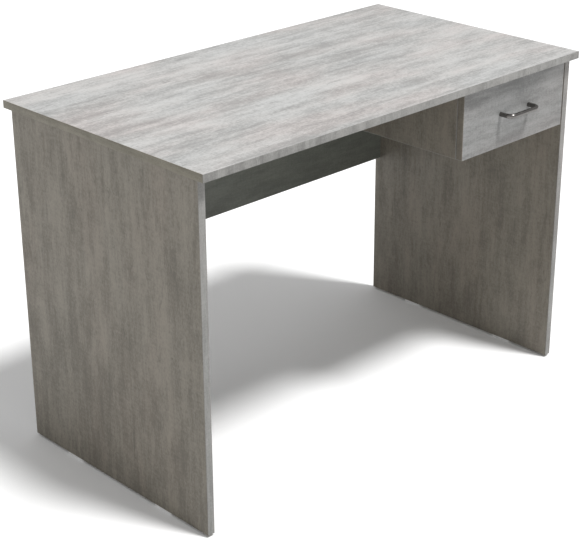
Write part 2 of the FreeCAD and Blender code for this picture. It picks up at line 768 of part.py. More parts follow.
def make_drawer_box():
    """Sides, back, bottom and the strips along the top edges of the drawer box."""
    make_drawer_side("left")
    make_drawer_side("right")

    back = Board(
        "drawer_back",
        ("drawer_inner_left", "drawer_back_face - board", "bottom_top"),
        ("drawer_inner_right - drawer_inner_left", "board", "drawer_top - band - bottom_top"),
    )
    ends = [(f"drawer_inner_{side}", "drawer_back_middle") for side in ("left", "right")]
    for (x, y), inward in zip(ends, ("+X", "-X")):
        screws = [(x, y, f"drawer_foot + {z}") for z in (40, 90)]
        back.drill(inward, screws, "confirmat_thread_radius", "confirmat_thread")
    nail_row = [(f"handle_x + {along}", "drawer_back_middle", "bottom_top") for along in (-100, 0, 100)]
    back.drill("+Z", nail_row, "nail_radius", "nail_depth")

    bottom = Board(
        "drawer_bottom",
        ("drawer_inner_left - groove_depth", "front_inside - groove_depth", "bottom_foot"),
        (
            "drawer_inner_right - drawer_inner_left + 2 * groove_depth",
            "drawer_depth + groove_depth",
            "hardboard",
        ),
    )
    bottom.drill("-Z", nail_row, "nail_radius", "hardboard")

    inner_width = "drawer_inner_right - drawer_inner_left"
    side_size = ("board", "drawer_depth", "band")
    strips = [
        block("drawer_band_left", ("drawer_left", "front_inside", "drawer_top - band"), side_size),
        block(
            "drawer_band_right",
            ("drawer_inner_right", "front_inside", "drawer_top - band"),
            ("board", "drawer_depth", "band"),
        ),
        block(
            "drawer_band_back",
            ("drawer_inner_left", "drawer_back_face - board", "drawer_top - band"),
            (inner_width, "board", "band"),
        ),
    ]
    group("drawer_box_edge_bands", strips)

    nail = revolve(
        "bottom_nail_pattern",
        [
            ("0", "-hardboard - nail_head"),
            ("nail_head_radius", "-hardboard - nail_head"),
            ("nail_head_radius", "-hardboard"),
            ("nail_radius", "-hardboard"),
            ("nail_radius", "nail_depth - 2"),
            ("0", "nail_depth"),
        ],
    )
    repeat("drawer_bottom_nails", nail, aim(nail_row, "+Z"))

    screw = revolve(
        "confirmat_pattern",
        [
            ("0", "0"),
            ("confirmat_head_radius", "0"),
            ("confirmat_head_radius", "confirmat_head"),
            ("confirmat_neck_radius", "confirmat_head"),
            ("confirmat_neck_radius", "board"),
            ("confirmat_thread_radius", "board"),
            ("confirmat_thread_radius", "board + confirmat_thread - 3"),
            ("0", "board + confirmat_thread"),
        ],
    )
    spots = aim(drawer_back_screws["left"], "+X") + aim(drawer_back_screws["right"], "-X")
    repeat("drawer_back_screws", screw, spots)


def make_handle():
    """A bow handle of bent round rod, and the two screws that hold it from inside the drawer."""
    body = doc.addObject("PartDesign::Body", "handle")
    width = DIMENSIONS["handle_centres"]
    radius = DIMENSIONS["handle_rod"] / 2
    reach = DIMENSIONS["handle_reach"] - radius
    bend = DIMENSIONS["handle_bend"]
    spine = sketch_on(body, "XY_Plane", 0, "Spine")
    upright = Vector(0, 0, 1)
    spine.addGeometry(Part.LineSegment(Vector(width, 0, 0), Vector(width, bend - reach, 0)), False)
    corner = Part.Circle(Vector(width - bend, bend - reach, 0), upright, bend)
    spine.addGeometry(Part.ArcOfCircle(corner, 1.5 * math.pi, 2 * math.pi), False)
    spine.addGeometry(Part.LineSegment(Vector(width - bend, -reach, 0), Vector(bend, -reach, 0)), False)
    corner = Part.Circle(Vector(bend, bend - reach, 0), upright, bend)
    spine.addGeometry(Part.ArcOfCircle(corner, math.pi, 1.5 * math.pi), False)
    spine.addGeometry(Part.LineSegment(Vector(0, bend - reach, 0), Vector(0, 0, 0)), False)
    joints = [
        Sketcher.Constraint("Tangent", 0, 2, 1, 2),
        Sketcher.Constraint("Tangent", 1, 1, 2, 1),
        Sketcher.Constraint("Tangent", 2, 2, 3, 2),
        Sketcher.Constraint("Tangent", 3, 1, 4, 1),
        Sketcher.Constraint("Vertical", 0),
        Sketcher.Constraint("Horizontal", 2),
        Sketcher.Constraint("Vertical", 4),
        Sketcher.Constraint("Equal", 1, 3),
    ]
    spine.addConstraint(joints)
    pin_point(spine, 0, 1, ("handle_centres", "0"))
    pin_point(spine, 4, 2, ("0", "0"))
    index = spine.addConstraint(Sketcher.Constraint("Radius", 1, bend))
    spine.setExpression(f"Constraints[{index}]", formula("handle_bend"))
    index = spine.addConstraint(Sketcher.Constraint("DistanceY", 2, 2, 4, 2, reach))
    spine.setExpression(f"Constraints[{index}]", formula("handle_reach - handle_rod / 2"))

    section = sketch_on(body, "XZ_Plane", 0, "Section")
    section.addGeometry(Part.Circle(Vector(width, 0, 0), upright, radius), False)
    pin_point(section, 0, 3, ("handle_centres", "0"))
    index = section.addConstraint(Sketcher.Constraint("Radius", 0, radius))
    section.setExpression(f"Constraints[{index}]", formula("handle_rod / 2"))
    pipe = body.newObject("PartDesign::AdditivePipe", "Bow")
    pipe.Profile = section
    pipe.Spine = spine

    threads = sketch_on(body, "XZ_Plane", 0, "Threads")
    for number, x in enumerate(("0", "handle_centres")):
        threads.addGeometry(Part.Circle(Vector(width * number, 0, 0), upright, 2), False)
        pin_point(threads, number, 3, (x, "0"))
        index = threads.addConstraint(Sketcher.Constraint("Radius", number, 2.0))
        threads.setExpression(f"Constraints[{index}]", formula("handle_screw / 2"))
    pocket(body, threads, "handle_screw_length - board + 1", True)
    put(body, ("handle_x - handle_centres / 2", "panel_front", "handle_z"))
    finish(body, "handle")

    screw = revolve(
        "handle_screw_pattern",
        [
            ("0", "-2.4"),
            ("3", "-2.4"),
            ("4", "-1.4"),
            ("4", "0"),
            ("handle_screw / 2", "0"),
            ("handle_screw / 2", "handle_screw_length"),
            ("0", "handle_screw_length"),
        ],
    )
    repeat("handle_screws", screw, aim(handle_spots, "-Y"))


# ---------------------------------------------------------------------------------------------
# Roller runners. Distances across are measured from the cabinet's face towards the drawer.
# ---------------------------------------------------------------------------------------------
CABINET_FACES = {"left": ("partition_right", 1), "right": ("inner_right", -1)}


def across_gap(side, distance):
    """The X place at a distance from the cabinet's face."""
    face, sign = CABINET_FACES[side]
    return f"({face} + {sign} * ({distance}))"


def strip_of(side, name, near, far, low, high, start, length):
    """A straight strip of a runner, between two distances across and two heights over its foot."""
    nearest = near if side == "left" else far
    corner = (across_gap(side, nearest), start, f"channel_foot + {low}")
    return block(f"{name}_{side}", corner, (f"({far}) - ({near})", length, f"({high}) - ({low})"))


def holed(label, solids, tools):
    """Join strips into one bent section and cut its screw and rivet holes."""
    joined = doc.addObject("Part::MultiFuse", f"{label}_joined")
    joined.Shapes = solids
    joined.Refine = True
    holes = doc.addObject("Part::Compound", f"{label}_holes")
    holes.Links = tools
    cut = doc.addObject("Part::Cut", label)
    cut.Base = joined
    cut.Tool = holes
    doc.recompute()
    if cut.Shape.Volume >= joined.Shape.Volume - 0.1:
        raise RuntimeError(f"{label}: no hole was cut")
    return finish(cut, label)


def make_cabinet_runner(side):
    """The C-shaped channel on the cabinet, with the stop that the drawer's roller meets."""
    toward = {"left": "+X", "right": "-X"}[side]
    whole = ("channel_front", "runner_length")
    stop_back = "drawer_roller_y - drawer_travel - stop_lead"
    flange_under = "channel_height - sheet_steel"
    solids = [
        strip_of(side, "channel_web", "0", "sheet_steel", "0", "channel_height", *whole),
        strip_of(side, "channel_foot_flange", "0", "channel_depth", "0", "sheet_steel", *whole),
        strip_of(side, "channel_top_flange", "0", "channel_depth", flange_under, "channel_height", *whole),
        strip_of(
            side,
            "channel_stop",
            "0",
            "channel_depth",
            "0",
            "sheet_steel + stop_height",
            f"{stop_back} - stop_length",
            "stop_length",
        ),
    ]
    face = across_gap(side, "0")
    middle = "channel_foot + channel_height / 2"
    tools = [
        rod(f"web_hole_{side}", (face, y, middle), toward, "screw_clearance", "sheet_steel")
        for y in runner_screw_rows
    ]
    rivet = (face, "cabinet_roller_y", "cabinet_roller_z")
    tools.append(rod(f"web_rivet_hole_{side}", rivet, toward, "rivet_radius", "sheet_steel"))
    holed(f"cabinet_runner_{side}", solids, tools)


def make_drawer_runner(side):
    """The angle under the drawer's side, with the rail that runs over the cabinet's roller."""
    toward = {"left": "+X", "right": "-X"}[side]
    whole = ("channel_front", "runner_length")
    rail_top = "rail_under + sheet_steel"
    ledge_far = "runner_gap + ledge_reach"
    web_near = "runner_gap - sheet_steel"
    flange_near = "runner_gap - rail_reach"
    ledge_top = "rail_drop + sheet_steel"
    solids = [
        strip_of(side, "rail_web", web_near, "runner_gap", "rail_drop", rail_top, *whole),
        strip_of(side, "rail_flange", flange_near, "runner_gap", "rail_under", rail_top, *whole),
        strip_of(side, "rail_ledge", "runner_gap", ledge_far, "rail_drop", ledge_top, *whole),
    ]
    tools = [
        rod(
            f"ledge_hole_{side}",
            (drawer_middles[side], y, "channel_foot + rail_drop"),
            "+Z",
            "screw_clearance",
            "sheet_steel",
        )
        for y in ledge_screw_rows
    ]
    rivet = (across_gap(side, "runner_gap - sheet_steel"), "drawer_roller_y", "drawer_roller_z")
    tools.append(rod(f"rail_rivet_hole_{side}", rivet, toward, "rivet_radius", "sheet_steel"))
    holed(f"drawer_runner_{side}", solids, tools)


def make_roller(label, side, near, y, z):
    """One nylon roller on its rivet, with chamfered rims."""
    toward = {"left": "+X", "right": "-X"}[side]
    rim = "roller_radius - roller_chamfer"
    roller = revolve(
        label,
        [
            ("roller_bore", "0"),
            (rim, "0"),
            ("roller_radius", "roller_chamfer"),
            ("roller_radius", "roller_width - roller_chamfer"),
            (rim, "roller_width"),
            ("roller_bore", "roller_width"),
        ],
    )
    roller.Placement = Placement(Vector(), Rotation(HEADINGS["+Z"], HEADINGS[toward]))
    put(roller, (across_gap(side, near), y, z))
    finish(roller, label)


def make_rivet_pattern(name, length):
    """A rivet: its shank starts at Z = 0 and its head ends the other end."""
    return revolve(
        name,
        [
            ("0", "0"),
            ("rivet_radius", "0"),
            ("rivet_radius", length),
            ("rivet_head_radius", length),
            ("rivet_head_radius", f"{length} + rivet_head"),
            ("0", f"{length} + rivet_head"),
        ],
    )


def make_runners():
    """Both runners, their rollers, rivets and screws."""
    for side in ("left", "right"):
        make_cabinet_runner(side)
        make_drawer_runner(side)
        for part in ("cabinet", "drawer"):
            roller = f"{part}_roller"
            make_roller(f"{roller}_{side}", side, f"{roller}_near", f"{roller}_y", f"{roller}_z")

    toward = {"left": "+X", "right": "-X"}
    away = {"left": "-X", "right": "+X"}
    cabinet_shank = "cabinet_roller_near + roller_width + rolling_gap"
    drawer_shank = "runner_gap - drawer_roller_near + rolling_gap"
    cabinet_rivet = make_rivet_pattern("cabinet_rivet_pattern", cabinet_shank)
    drawer_rivet = make_rivet_pattern("drawer_rivet_pattern", drawer_shank)
    cabinet_spots = [
        (across_gap(side, "0"), "cabinet_roller_y", "cabinet_roller_z", toward[side]) for side in toward
    ]
    drawer_spots = [
        (across_gap(side, "runner_gap"), "drawer_roller_y", "drawer_roller_z", away[side]) for side in away
    ]
    repeat("cabinet_roller_rivets", cabinet_rivet, cabinet_spots)
    repeat("drawer_roller_rivets", drawer_rivet, drawer_spots)

    screw = revolve(
        "runner_screw_pattern",
        [
            ("0", "-screw_head"),
            ("screw_head_radius - 1.2", "-screw_head"),
            ("screw_head_radius", "-screw_head / 3"),
            ("screw_head_radius", "0"),
            ("screw_radius", "0"),
            ("screw_radius", "sheet_steel + screw_depth - 2"),
            ("0", "sheet_steel + screw_depth"),
        ],
    )
    cabinet_screws = [
        (across_gap(side, "sheet_steel"), y, "channel_foot + channel_height / 2", away[side])
        for side in away
        for y in runner_screw_rows
    ]
    drawer_screws = [
        (drawer_middles[side], y, "channel_foot + rail_drop", "+Z")
        for side in ("left", "right")
        for y in ledge_screw_rows
    ]
    repeat("cabinet_runner_screws", screw, cabinet_screws)
    repeat("drawer_runner_screws", screw, drawer_screws)


def export():
    """Check every object, then write one STEP file for each sub-part."""
    doc.recompute()
    for thing in doc.Objects:
        if "Invalid" in thing.State or "Error" in thing.State:
            raise RuntimeError(f"{thing.Name}: {thing.State}")
    for part in parts:
        if part.Shape.isNull() or not part.Shape.isValid():
            raise RuntimeError(f"{part.Label}: bad shape")
    os.makedirs("parts", exist_ok=True)
    for part in parts:
        part.Shape.exportStep(f"parts/{part.Label}.step")
        print(f"{part.Label}: {len(part.Shape.Solids)} solids, {part.Shape.Volume / 1000:.2f} cm3")
    print(f"{len(parts)} sub-parts")


make_desktop()
make_side_panels()
make_modesty_panel()
make_partition()
make_glides()
make_fasteners()
make_drawer_front()
make_drawer_box()
make_handle()
make_runners()
export()
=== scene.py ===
"""The looks of a writing desk with one drawer, built round its fixed frame.

Every size and place comes from the frame, in metres. The boards, which are flat, keep the frame's own
shapes and get a woodgrain melamine finish. Edge bands, handle, glides, runners, rollers, cam locks and
screw heads are modelled here in finer detail, and each one replaces the plain node it stands for.
"""
import json
import logging
import math
from collections.abc import Callable, Sequence
from dataclasses import dataclass
from enum import Enum

import bpy
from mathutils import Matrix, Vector


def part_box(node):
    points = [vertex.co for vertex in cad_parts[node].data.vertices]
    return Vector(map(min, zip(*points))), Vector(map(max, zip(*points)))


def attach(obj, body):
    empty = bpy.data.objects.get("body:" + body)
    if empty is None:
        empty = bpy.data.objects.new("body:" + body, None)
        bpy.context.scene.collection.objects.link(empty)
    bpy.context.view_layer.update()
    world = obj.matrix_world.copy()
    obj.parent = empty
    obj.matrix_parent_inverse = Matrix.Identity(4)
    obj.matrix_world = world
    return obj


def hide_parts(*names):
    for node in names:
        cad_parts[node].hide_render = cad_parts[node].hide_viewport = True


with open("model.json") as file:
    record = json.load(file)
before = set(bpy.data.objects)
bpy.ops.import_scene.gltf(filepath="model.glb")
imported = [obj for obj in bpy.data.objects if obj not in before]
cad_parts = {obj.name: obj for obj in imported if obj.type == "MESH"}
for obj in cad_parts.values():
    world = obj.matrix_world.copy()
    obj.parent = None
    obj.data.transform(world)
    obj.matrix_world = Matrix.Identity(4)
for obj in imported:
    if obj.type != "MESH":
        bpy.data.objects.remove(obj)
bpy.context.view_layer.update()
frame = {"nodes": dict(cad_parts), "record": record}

LOG = logging.getLogger("writing_desk")
Colour = tuple[float, float, float]
Spot = tuple[float, float, float]


class Grain(Enum):
    """The axis that the grain of a board runs along."""

    X = 0
    Y = 1
    Z = 2


class Side(Enum):
    """A side of the drawer."""

    LEFT = "left"
    RIGHT = "right"


# ---------------------------------------------------------------------------------------------
# Finishes
# ---------------------------------------------------------------------------------------------
class Shader:
    """Adds and links the nodes of one material."""

    def __init__(self, name: str) -> None:
        """Start a material with a principled surface.

        Args:
            name: The material's name.
        """
        self.material = bpy.data.materials.new(name)
        self.material.use_nodes = True
        self.tree = self.material.node_tree
        self.surface = self.tree.nodes["Principled BSDF"]
        self.coordinates = self.add("ShaderNodeTexCoord").outputs["Object"]

    def add(self, kind: str, **settings: object) -> bpy.types.Node:
        """Add a node.

        Args:
            kind: The node's type.
            settings: Properties to set on it.

        Returns:
            The new node.
        """
        node = self.tree.nodes.new(kind)
        for name, value in settings.items():
            setattr(node, name, value)
        return node

    def link(self, source: bpy.types.NodeSocket, target: bpy.types.NodeSocket) -> None:
        """Link one socket to another."""
        self.tree.links.new(source, target)

    def warped(self, rate: float, amount: float) -> bpy.types.NodeSocket:
        """The object's coordinates, pushed about by a noise so that straight streaks break up.

        Args:
            rate: Swings per metre.
            amount: How far a point is pushed, in metres.

        Returns:
            The pushed coordinates.
        """
        noise = self.add("ShaderNodeTexNoise")
        noise.inputs["Scale"].default_value = rate
        noise.inputs["Detail"].default_value = 3.0
        self.link(self.coordinates, noise.inputs["Vector"])
        centred = self.add("ShaderNodeVectorMath", operation="SUBTRACT")
        self.link(noise.outputs["Color"], centred.inputs[0])
        centred.inputs[1].default_value = (0.5, 0.5, 0.5)
        scaled = self.add("ShaderNodeVectorMath", operation="SCALE")
        self.link(centred.outputs[0], scaled.inputs[0])
        scaled.inputs["Scale"].default_value = amount
        pushed = self.add("ShaderNodeVectorMath", operation="ADD")
        self.link(self.coordinates, pushed.inputs[0])
        self.link(scaled.outputs[0], pushed.inputs[1])
        return pushed.outputs[0]

    def noise(
        self,
        stretch: Spot,
        detail: float = 4.0,
        rough: float = 0.55,
        shift: float = 0.0,
        vector: bpy.types.NodeSocket | None = None,
    ) -> bpy.types.NodeSocket:
        """Add a noise that has its own number of grains per metre along each axis.

        Args:
            stretch: Grains per metre along X, Y and Z.
            detail: How many finer layers the noise has.
            rough: How strong the finer layers are.
            shift: How far the pattern is moved, so that two noises differ.
            vector: The coordinates to use, or none for the object's own.

        Returns:
            The noise's value, which lies round 0.5.
        """
        mapping = self.add("ShaderNodeMapping")
        mapping.inputs["Scale"].default_value = stretch
        mapping.inputs["Location"].default_value = (shift, shift, shift)
        self.link(vector or self.coordinates, mapping.inputs["Vector"])
        noise = self.add("ShaderNodeTexNoise")
        noise.inputs["Scale"].default_value = 1.0
        noise.inputs["Detail"].default_value = detail
        noise.inputs["Roughness"].default_value = rough
        self.link(mapping.outputs["Vector"], noise.inputs["Vector"])
        return noise.outputs["Fac"]

    def spread(
        self,
        value: bpy.types.NodeSocket,
        low: float,
        high: float,
        to_low: float = 0.0,
        to_high: float = 1.0,
    ) -> bpy.types.NodeSocket:
        """Stretch a value's range onto another range, smoothly and with no overshoot.

        Args:
            value: The value.
            low: Where the range starts.
            high: Where the range ends.
            to_low: The result at the start.
            to_high: The result at the end.

        Returns:
            The result.
        """
        node = self.add("ShaderNodeMapRange", interpolation_type="SMOOTHSTEP")
        node.inputs["From Min"].default_value = low
        node.inputs["From Max"].default_value = high
        node.inputs["To Min"].default_value = to_low
        node.inputs["To Max"].default_value = to_high
        self.link(value, node.inputs["Value"])
        return node.outputs["Result"]

    def math(
        self, what: str, first: bpy.types.NodeSocket | float, second: bpy.types.NodeSocket | float
    ) -> bpy.types.NodeSocket:
        """Combine two values.

        Args:
            what: The operation, such as ADD or MULTIPLY.
            first: The first value or number.
            second: The second value or number.

        Returns:
            The result.
        """
        node = self.add("ShaderNodeMath", operation=what)
        for socket, value in zip(node.inputs, (first, second)):
            if isinstance(value, (int, float)):
                socket.default_value = value
            else:
                self.link(value, socket)
        return node.outputs[0]

    def weighted(self, layers: Sequence[tuple[bpy.types.NodeSocket, float]]) -> bpy.types.NodeSocket:
        """Add noises up, each with its weight, so that the sum stays round 0.5.

        Args:
            layers: Pairs of a noise and its weight. The weights add up to 1.

        Returns:
            The sum.
        """
        total: bpy.types.NodeSocket | float = 0.0
        for value, weight in layers:
            total = self.math("ADD", total, self.math("MULTIPLY", value, weight))
        return total

    def ramp(
        self, value: bpy.types.NodeSocket, stops: Sequence[tuple[float, Colour]]
    ) -> bpy.types.NodeSocket:
        """Turn a value into a colour.

        Args:
            value: The value.
            stops: Pairs of a place and its colour, in order.

        Returns:
            The colour.
        """
        node = self.add("ShaderNodeValToRGB")
        elements = node.color_ramp.elements
        while len(elements) < len(stops):
            elements.new(1.0)
        for element, (place, colour) in zip(elements, stops):
            element.position = place
            element.color = (*colour, 1.0)
        self.link(value, node.inputs["Fac"])
        return node.outputs["Color"]

    def mix(
        self,
        factor: bpy.types.NodeSocket | float,
        first: bpy.types.NodeSocket | Colour,
        second: bpy.types.NodeSocket | Colour,
        how: str = "MIX",
    ) -> bpy.types.NodeSocket:
        """Mix two colours.

        Args:
            factor: How much of the second colour there is.
            first: The first colour.
            second: The second colour.
            how: The blend type.

        Returns:
            The mixed colour.
        """
        node = self.add("ShaderNodeMix", data_type="RGBA", blend_type=how)
        inputs = (node.inputs[0], node.inputs[6], node.inputs[7])
        for socket, value in zip(inputs, (factor, first, second)):
            if isinstance(value, (int, float)):
                socket.default_value = value
            elif isinstance(value, tuple):
                socket.default_value = (*value, 1.0)
            else:
                self.link(value, socket)
        return node.outputs[2]

    def bump(self, height: bpy.types.NodeSocket, depth: float, strength: float = 1.0) -> None:
        """Give the surface a relief.

        Args:
            height: The relief, from 0 to 1.
            depth: Its depth in metres.
            strength: How much of it shows.
        """
        node = self.add("ShaderNodeBump")
        node.inputs["Strength"].default_value = strength
        node.inputs["Distance"].default_value = depth
        self.link(height, node.inputs["Height"])
        self.link(node.outputs["Normal"], self.surface.inputs["Normal"])

    def set(self, **values: float) -> None:
        """Set plain numbers on the surface, with underscores for the spaces in a socket's name."""
        for name, value in values.items():
            self.surface.inputs[name.replace("_", " ")].default_value = value


def times(colour: Colour, factor: float) -> Colour:
    """A colour made lighter or darker."""
    return tuple(min(1.0, part * factor) for part in colour)


@dataclass(frozen=True)
class Melamine:
    """A matt printed board: weathered grey wood with torn clouds, streaks, chalk and fine pores.

    Attributes:
        name: The material's name.
        tone: The middle colour of the print. On the upright boards, the drawer and the edge bands it is
            darkened as painted shade.
        grain: The axis that the grain runs along.
        scale: How coarse the print is, where 1 is the desktop's.
        contrast: How far the print goes from its middle colour.
        chalk: How strong the pale patches are.
        smudge: How strong the dark torn streaks are.
        tint: How strong the rosy and bluish patches are.
        shift: How far the print is moved on the board.
        roughness: The middle roughness.
        rear_tone: The middle colour of the rear face, where the front face's colour is a darker painted
            shade.
        rear_from: The Y place from which that colour holds.
    """

    name: str
    tone: Colour
    grain: Grain
    scale: float = 1.0
    contrast: float = 1.0
    chalk: float = 0.5
    smudge: float = 0.4
    tint: float = 0.6
    shift: float = 0.0
    roughness: float = 0.5
    rear_tone: Colour | None = None
    rear_from: float = 0.0

    def stretched(self, along: float, across: float) -> Spot:
        """Work out the grains per metre on each axis.

        Args:
            along: The rate along the grain.
            across: The rate across it.

        Returns:
            The rates along X, Y and Z.
        """
        rates = [across / self.scale] * 3
        rates[self.grain.value] = along / self.scale
        return tuple(rates)

    def print_layers(self, shader: Shader, pushed: bpy.types.NodeSocket) -> bpy.types.NodeSocket:
        """The light and dark of the print, from clouds down to grit.

        Args:
            shader: The material that is being made.
            pushed: Coordinates that break the streaks up.

        Returns:
            A value from 0 to 1.
        """
        shift = self.shift
        clouds = shader.noise(self.stretched(2.6, 7.0), 5.0, 0.6, shift, pushed)
        patches = shader.noise(self.stretched(9.0, 27.0), 8.0, 0.72, shift + 5.0, pushed)
        streaks = shader.noise(self.stretched(9.0, 105.0), 5.0, 0.62, shift + 7.0, pushed)
        saw_marks = shader.noise(self.stretched(230.0, 45.0), 3.0, 0.6, shift + 11.0)
        grit = shader.noise(self.stretched(150.0, 360.0), 3.0, 0.7, shift + 13.0)
        bands = shader.noise(self.stretched(0.9, 34.0), 3.0, 0.6, shift + 15.0)
        layers = [
            (clouds, 0.16),
            (patches, 0.26),
            (streaks, 0.16),
            (bands, 0.12),
            (saw_marks, 0.09),
            (grit, 0.21),
        ]
        reach = 0.1 / self.contrast
        return shader.spread(shader.weighted(layers), 0.5 - reach, 0.5 + reach)

    def build(self) -> bpy.types.Material:
        """Make the material.

        Returns:
            The material.
        """
        shader = Shader(self.name)
        shift = self.shift
        pushed = shader.warped(26.0 / self.scale, 0.012 * self.scale)
        value = self.print_layers(shader, pushed)
        stops = [(0.0, 0.7), (0.28, 0.86), (0.52, 1.0), (0.76, 1.12), (1.0, 1.25)]
        colour = shader.ramp(value, [(place, times(self.tone, factor)) for place, factor in stops])

        hue = shader.noise(self.stretched(3.0, 9.0), 4.0, 0.55, shift + 21.0, pushed)
        tints = [(0.36, (1.035, 0.985, 0.98)), (0.5, (1.0, 1.0, 1.0)), (0.64, (0.98, 1.0, 1.01))]
        colour = shader.mix(self.tint, colour, shader.ramp(hue, tints), "MULTIPLY")

        pale = shader.noise(self.stretched(5.0, 24.0), 8.0, 0.72, shift + 31.0, pushed)
        speckle = shader.spread(shader.noise(self.stretched(190.0, 420.0), 2.0, 0.6, shift), 0.36, 0.6)
        dusted = shader.spread(pale, 0.53, 0.68)
        chalk = shader.math("MULTIPLY", dusted, shader.math("MULTIPLY", speckle, self.chalk))
        colour = shader.mix(chalk, colour, times(self.tone, 1.36))

        torn = shader.noise(self.stretched(12.0, 70.0), 9.0, 0.74, shift + 43.0, pushed)
        smudges = shader.spread(torn, 0.57, 0.66, 0.0, self.smudge)
        colour = shader.mix(smudges, colour, times(self.tone, 0.62))

        seams = shader.noise(self.stretched(1.6, 20.0), 2.0, 0.5, shift + 51.0, pushed)
        off_seam = shader.math("ABSOLUTE", shader.math("SUBTRACT", seams, 0.5), 0.0)
        thin = shader.spread(off_seam, 0.0, 0.007, 1.0, 0.0)
        line = shader.math("MULTIPLY", thin, shader.spread(torn, 0.47, 0.6))
        colour = shader.mix(shader.math("MULTIPLY", line, self.smudge), colour, times(self.tone, 0.5))
        # Painted shade: the front face keeps the darker tone, and from rear_from backwards the colour is
        # scaled to rear_tone.
        if self.rear_tone:
            place = shader.add("ShaderNodeSeparateXYZ")
            shader.link(shader.coordinates, place.inputs[0])
            rear = shader.math("GREATER_THAN", place.outputs["Y"], self.rear_from)
            ratio = tuple(far / near for far, near in zip(self.rear_tone, self.tone))
            colour = shader.mix(rear, colour, ratio, "MULTIPLY")
        shader.link(colour, shader.surface.inputs["Base Color"])

        rough = shader.spread(value, 0.2, 0.8, self.roughness + 0.07, self.roughness - 0.05)
        shader.link(rough, shader.surface.inputs["Roughness"])
        pores = shader.noise(self.stretched(70.0, 1100.0), 2.0, 0.5, shift + 3.0)
        relief = shader.weighted([(value, 0.35), (pores, 0.45), (speckle, 0.2)])
        shader.bump(relief, 0.00018, 0.5)
        shader.set(Specular_IOR_Level=0.4)
        return shader.material


@dataclass(frozen=True)
class Plated:
    """A plated or cast metal with faint clouds in its polish.

    Attributes:
        name: The material's name.
        tone: The metal's colour.
        roughness: The middle roughness.
        grains: Grains of the brushing per metre on each axis.
        spread: How much the roughness varies.
        depth: The depth of the relief in metres.
        anisotropy: How far reflections are drawn out.
    """

    name: str
    tone: Colour
    roughness: float
    grains: Spot = (300.0, 300.0, 300.0)
    spread: float = 0.06
    depth: float = 0.00002
    anisotropy: float = 0.0

    def build(self) -> bpy.types.Material:
        """Make the material.

        Returns:
            The material.
        """
        shader = Shader(self.name)
        stain = shader.noise((35.0, 35.0, 35.0), 4.0, 0.6)
        brushed = shader.noise(self.grains, 4.0, 0.6, 5.0)
        stops = [(0.3, times(self.tone, 0.86)), (0.52, self.tone), (0.72, times(self.tone, 1.1))]
        colour = shader.ramp(stain, stops)
        shader.link(colour, shader.surface.inputs["Base Color"])
        both = shader.weighted([(stain, 0.5), (brushed, 0.5)])
        rough = shader.spread(both, 0.35, 0.65, self.roughness - self.spread, self.roughness + self.spread)
        shader.link(rough, shader.surface.inputs["Roughness"])
        shader.bump(brushed, self.depth, 0.4)
        shader.set(Metallic=1.0, Anisotropic=self.anisotropy)
        return shader.material


@dataclass(frozen=True)
class Moulded:
    """A moulded plastic or a sprayed paint: fine texture, slight flow clouds and dust.

    Attributes:
        name: The material's name.
        tone: The colour.
        roughness: The middle roughness.
        texture: Grains of the surface texture per metre.
        depth: The depth of the texture in metres.
        coat: The strength of a clear coat over it.
    """

    name: str
    tone: Colour
    roughness: float
    texture: float = 900.0
    depth: float = 0.00003
    coat: float = 0.0

    def build(self) -> bpy.types.Material:
        """Make the material.

        Returns:
            The material.
        """
        shader = Shader(self.name)
        flow = shader.noise((28.0, 28.0, 28.0), 5.0, 0.6)
        grit = shader.noise((self.texture,) * 3, 2.0, 0.5)
        both = shader.weighted([(flow, 0.75), (grit, 0.25)])
        stops = [(0.32, times(self.tone, 0.9)), (0.5, self.tone), (0.68, times(self.tone, 1.05))]
        colour = shader.ramp(both, stops)
        shader.link(colour, shader.surface.inputs["Base Color"])
        rough = shader.spread(grit, 0.3, 0.7, self.roughness - 0.06, self.roughness + 0.08)
        shader.link(rough, shader.surface.inputs["Roughness"])
        shader.bump(grit, self.depth, 0.5)
        shader.set(Coat_Weight=self.coat, Coat_Roughness=0.25)
        return shader.material


# One print covers every board. TOP_TONE is the print's own middle colour. The upright boards, the drawer
# and the edge bands get darker copies of it as painted shade, standing in for the light that their faces
# miss. SHADE_TONE is the deepest painted shade, on the front face of the modesty panel.
TOP_TONE: Colour = (0.39, 0.384, 0.375)
PANEL_PAINTED_SHADE_TONE: Colour = (0.165, 0.149, 0.121)
SHADE_TONE: Colour = (0.105, 0.11, 0.094)
FRONT_PAINTED_SHADE_TONE: Colour = (0.203, 0.202, 0.197)
EDGE_PAINTED_SHADE_TONE: Colour = (0.216, 0.213, 0.203)
END_PAINTED_SHADE_TONE: Colour = (0.165, 0.152, 0.117)

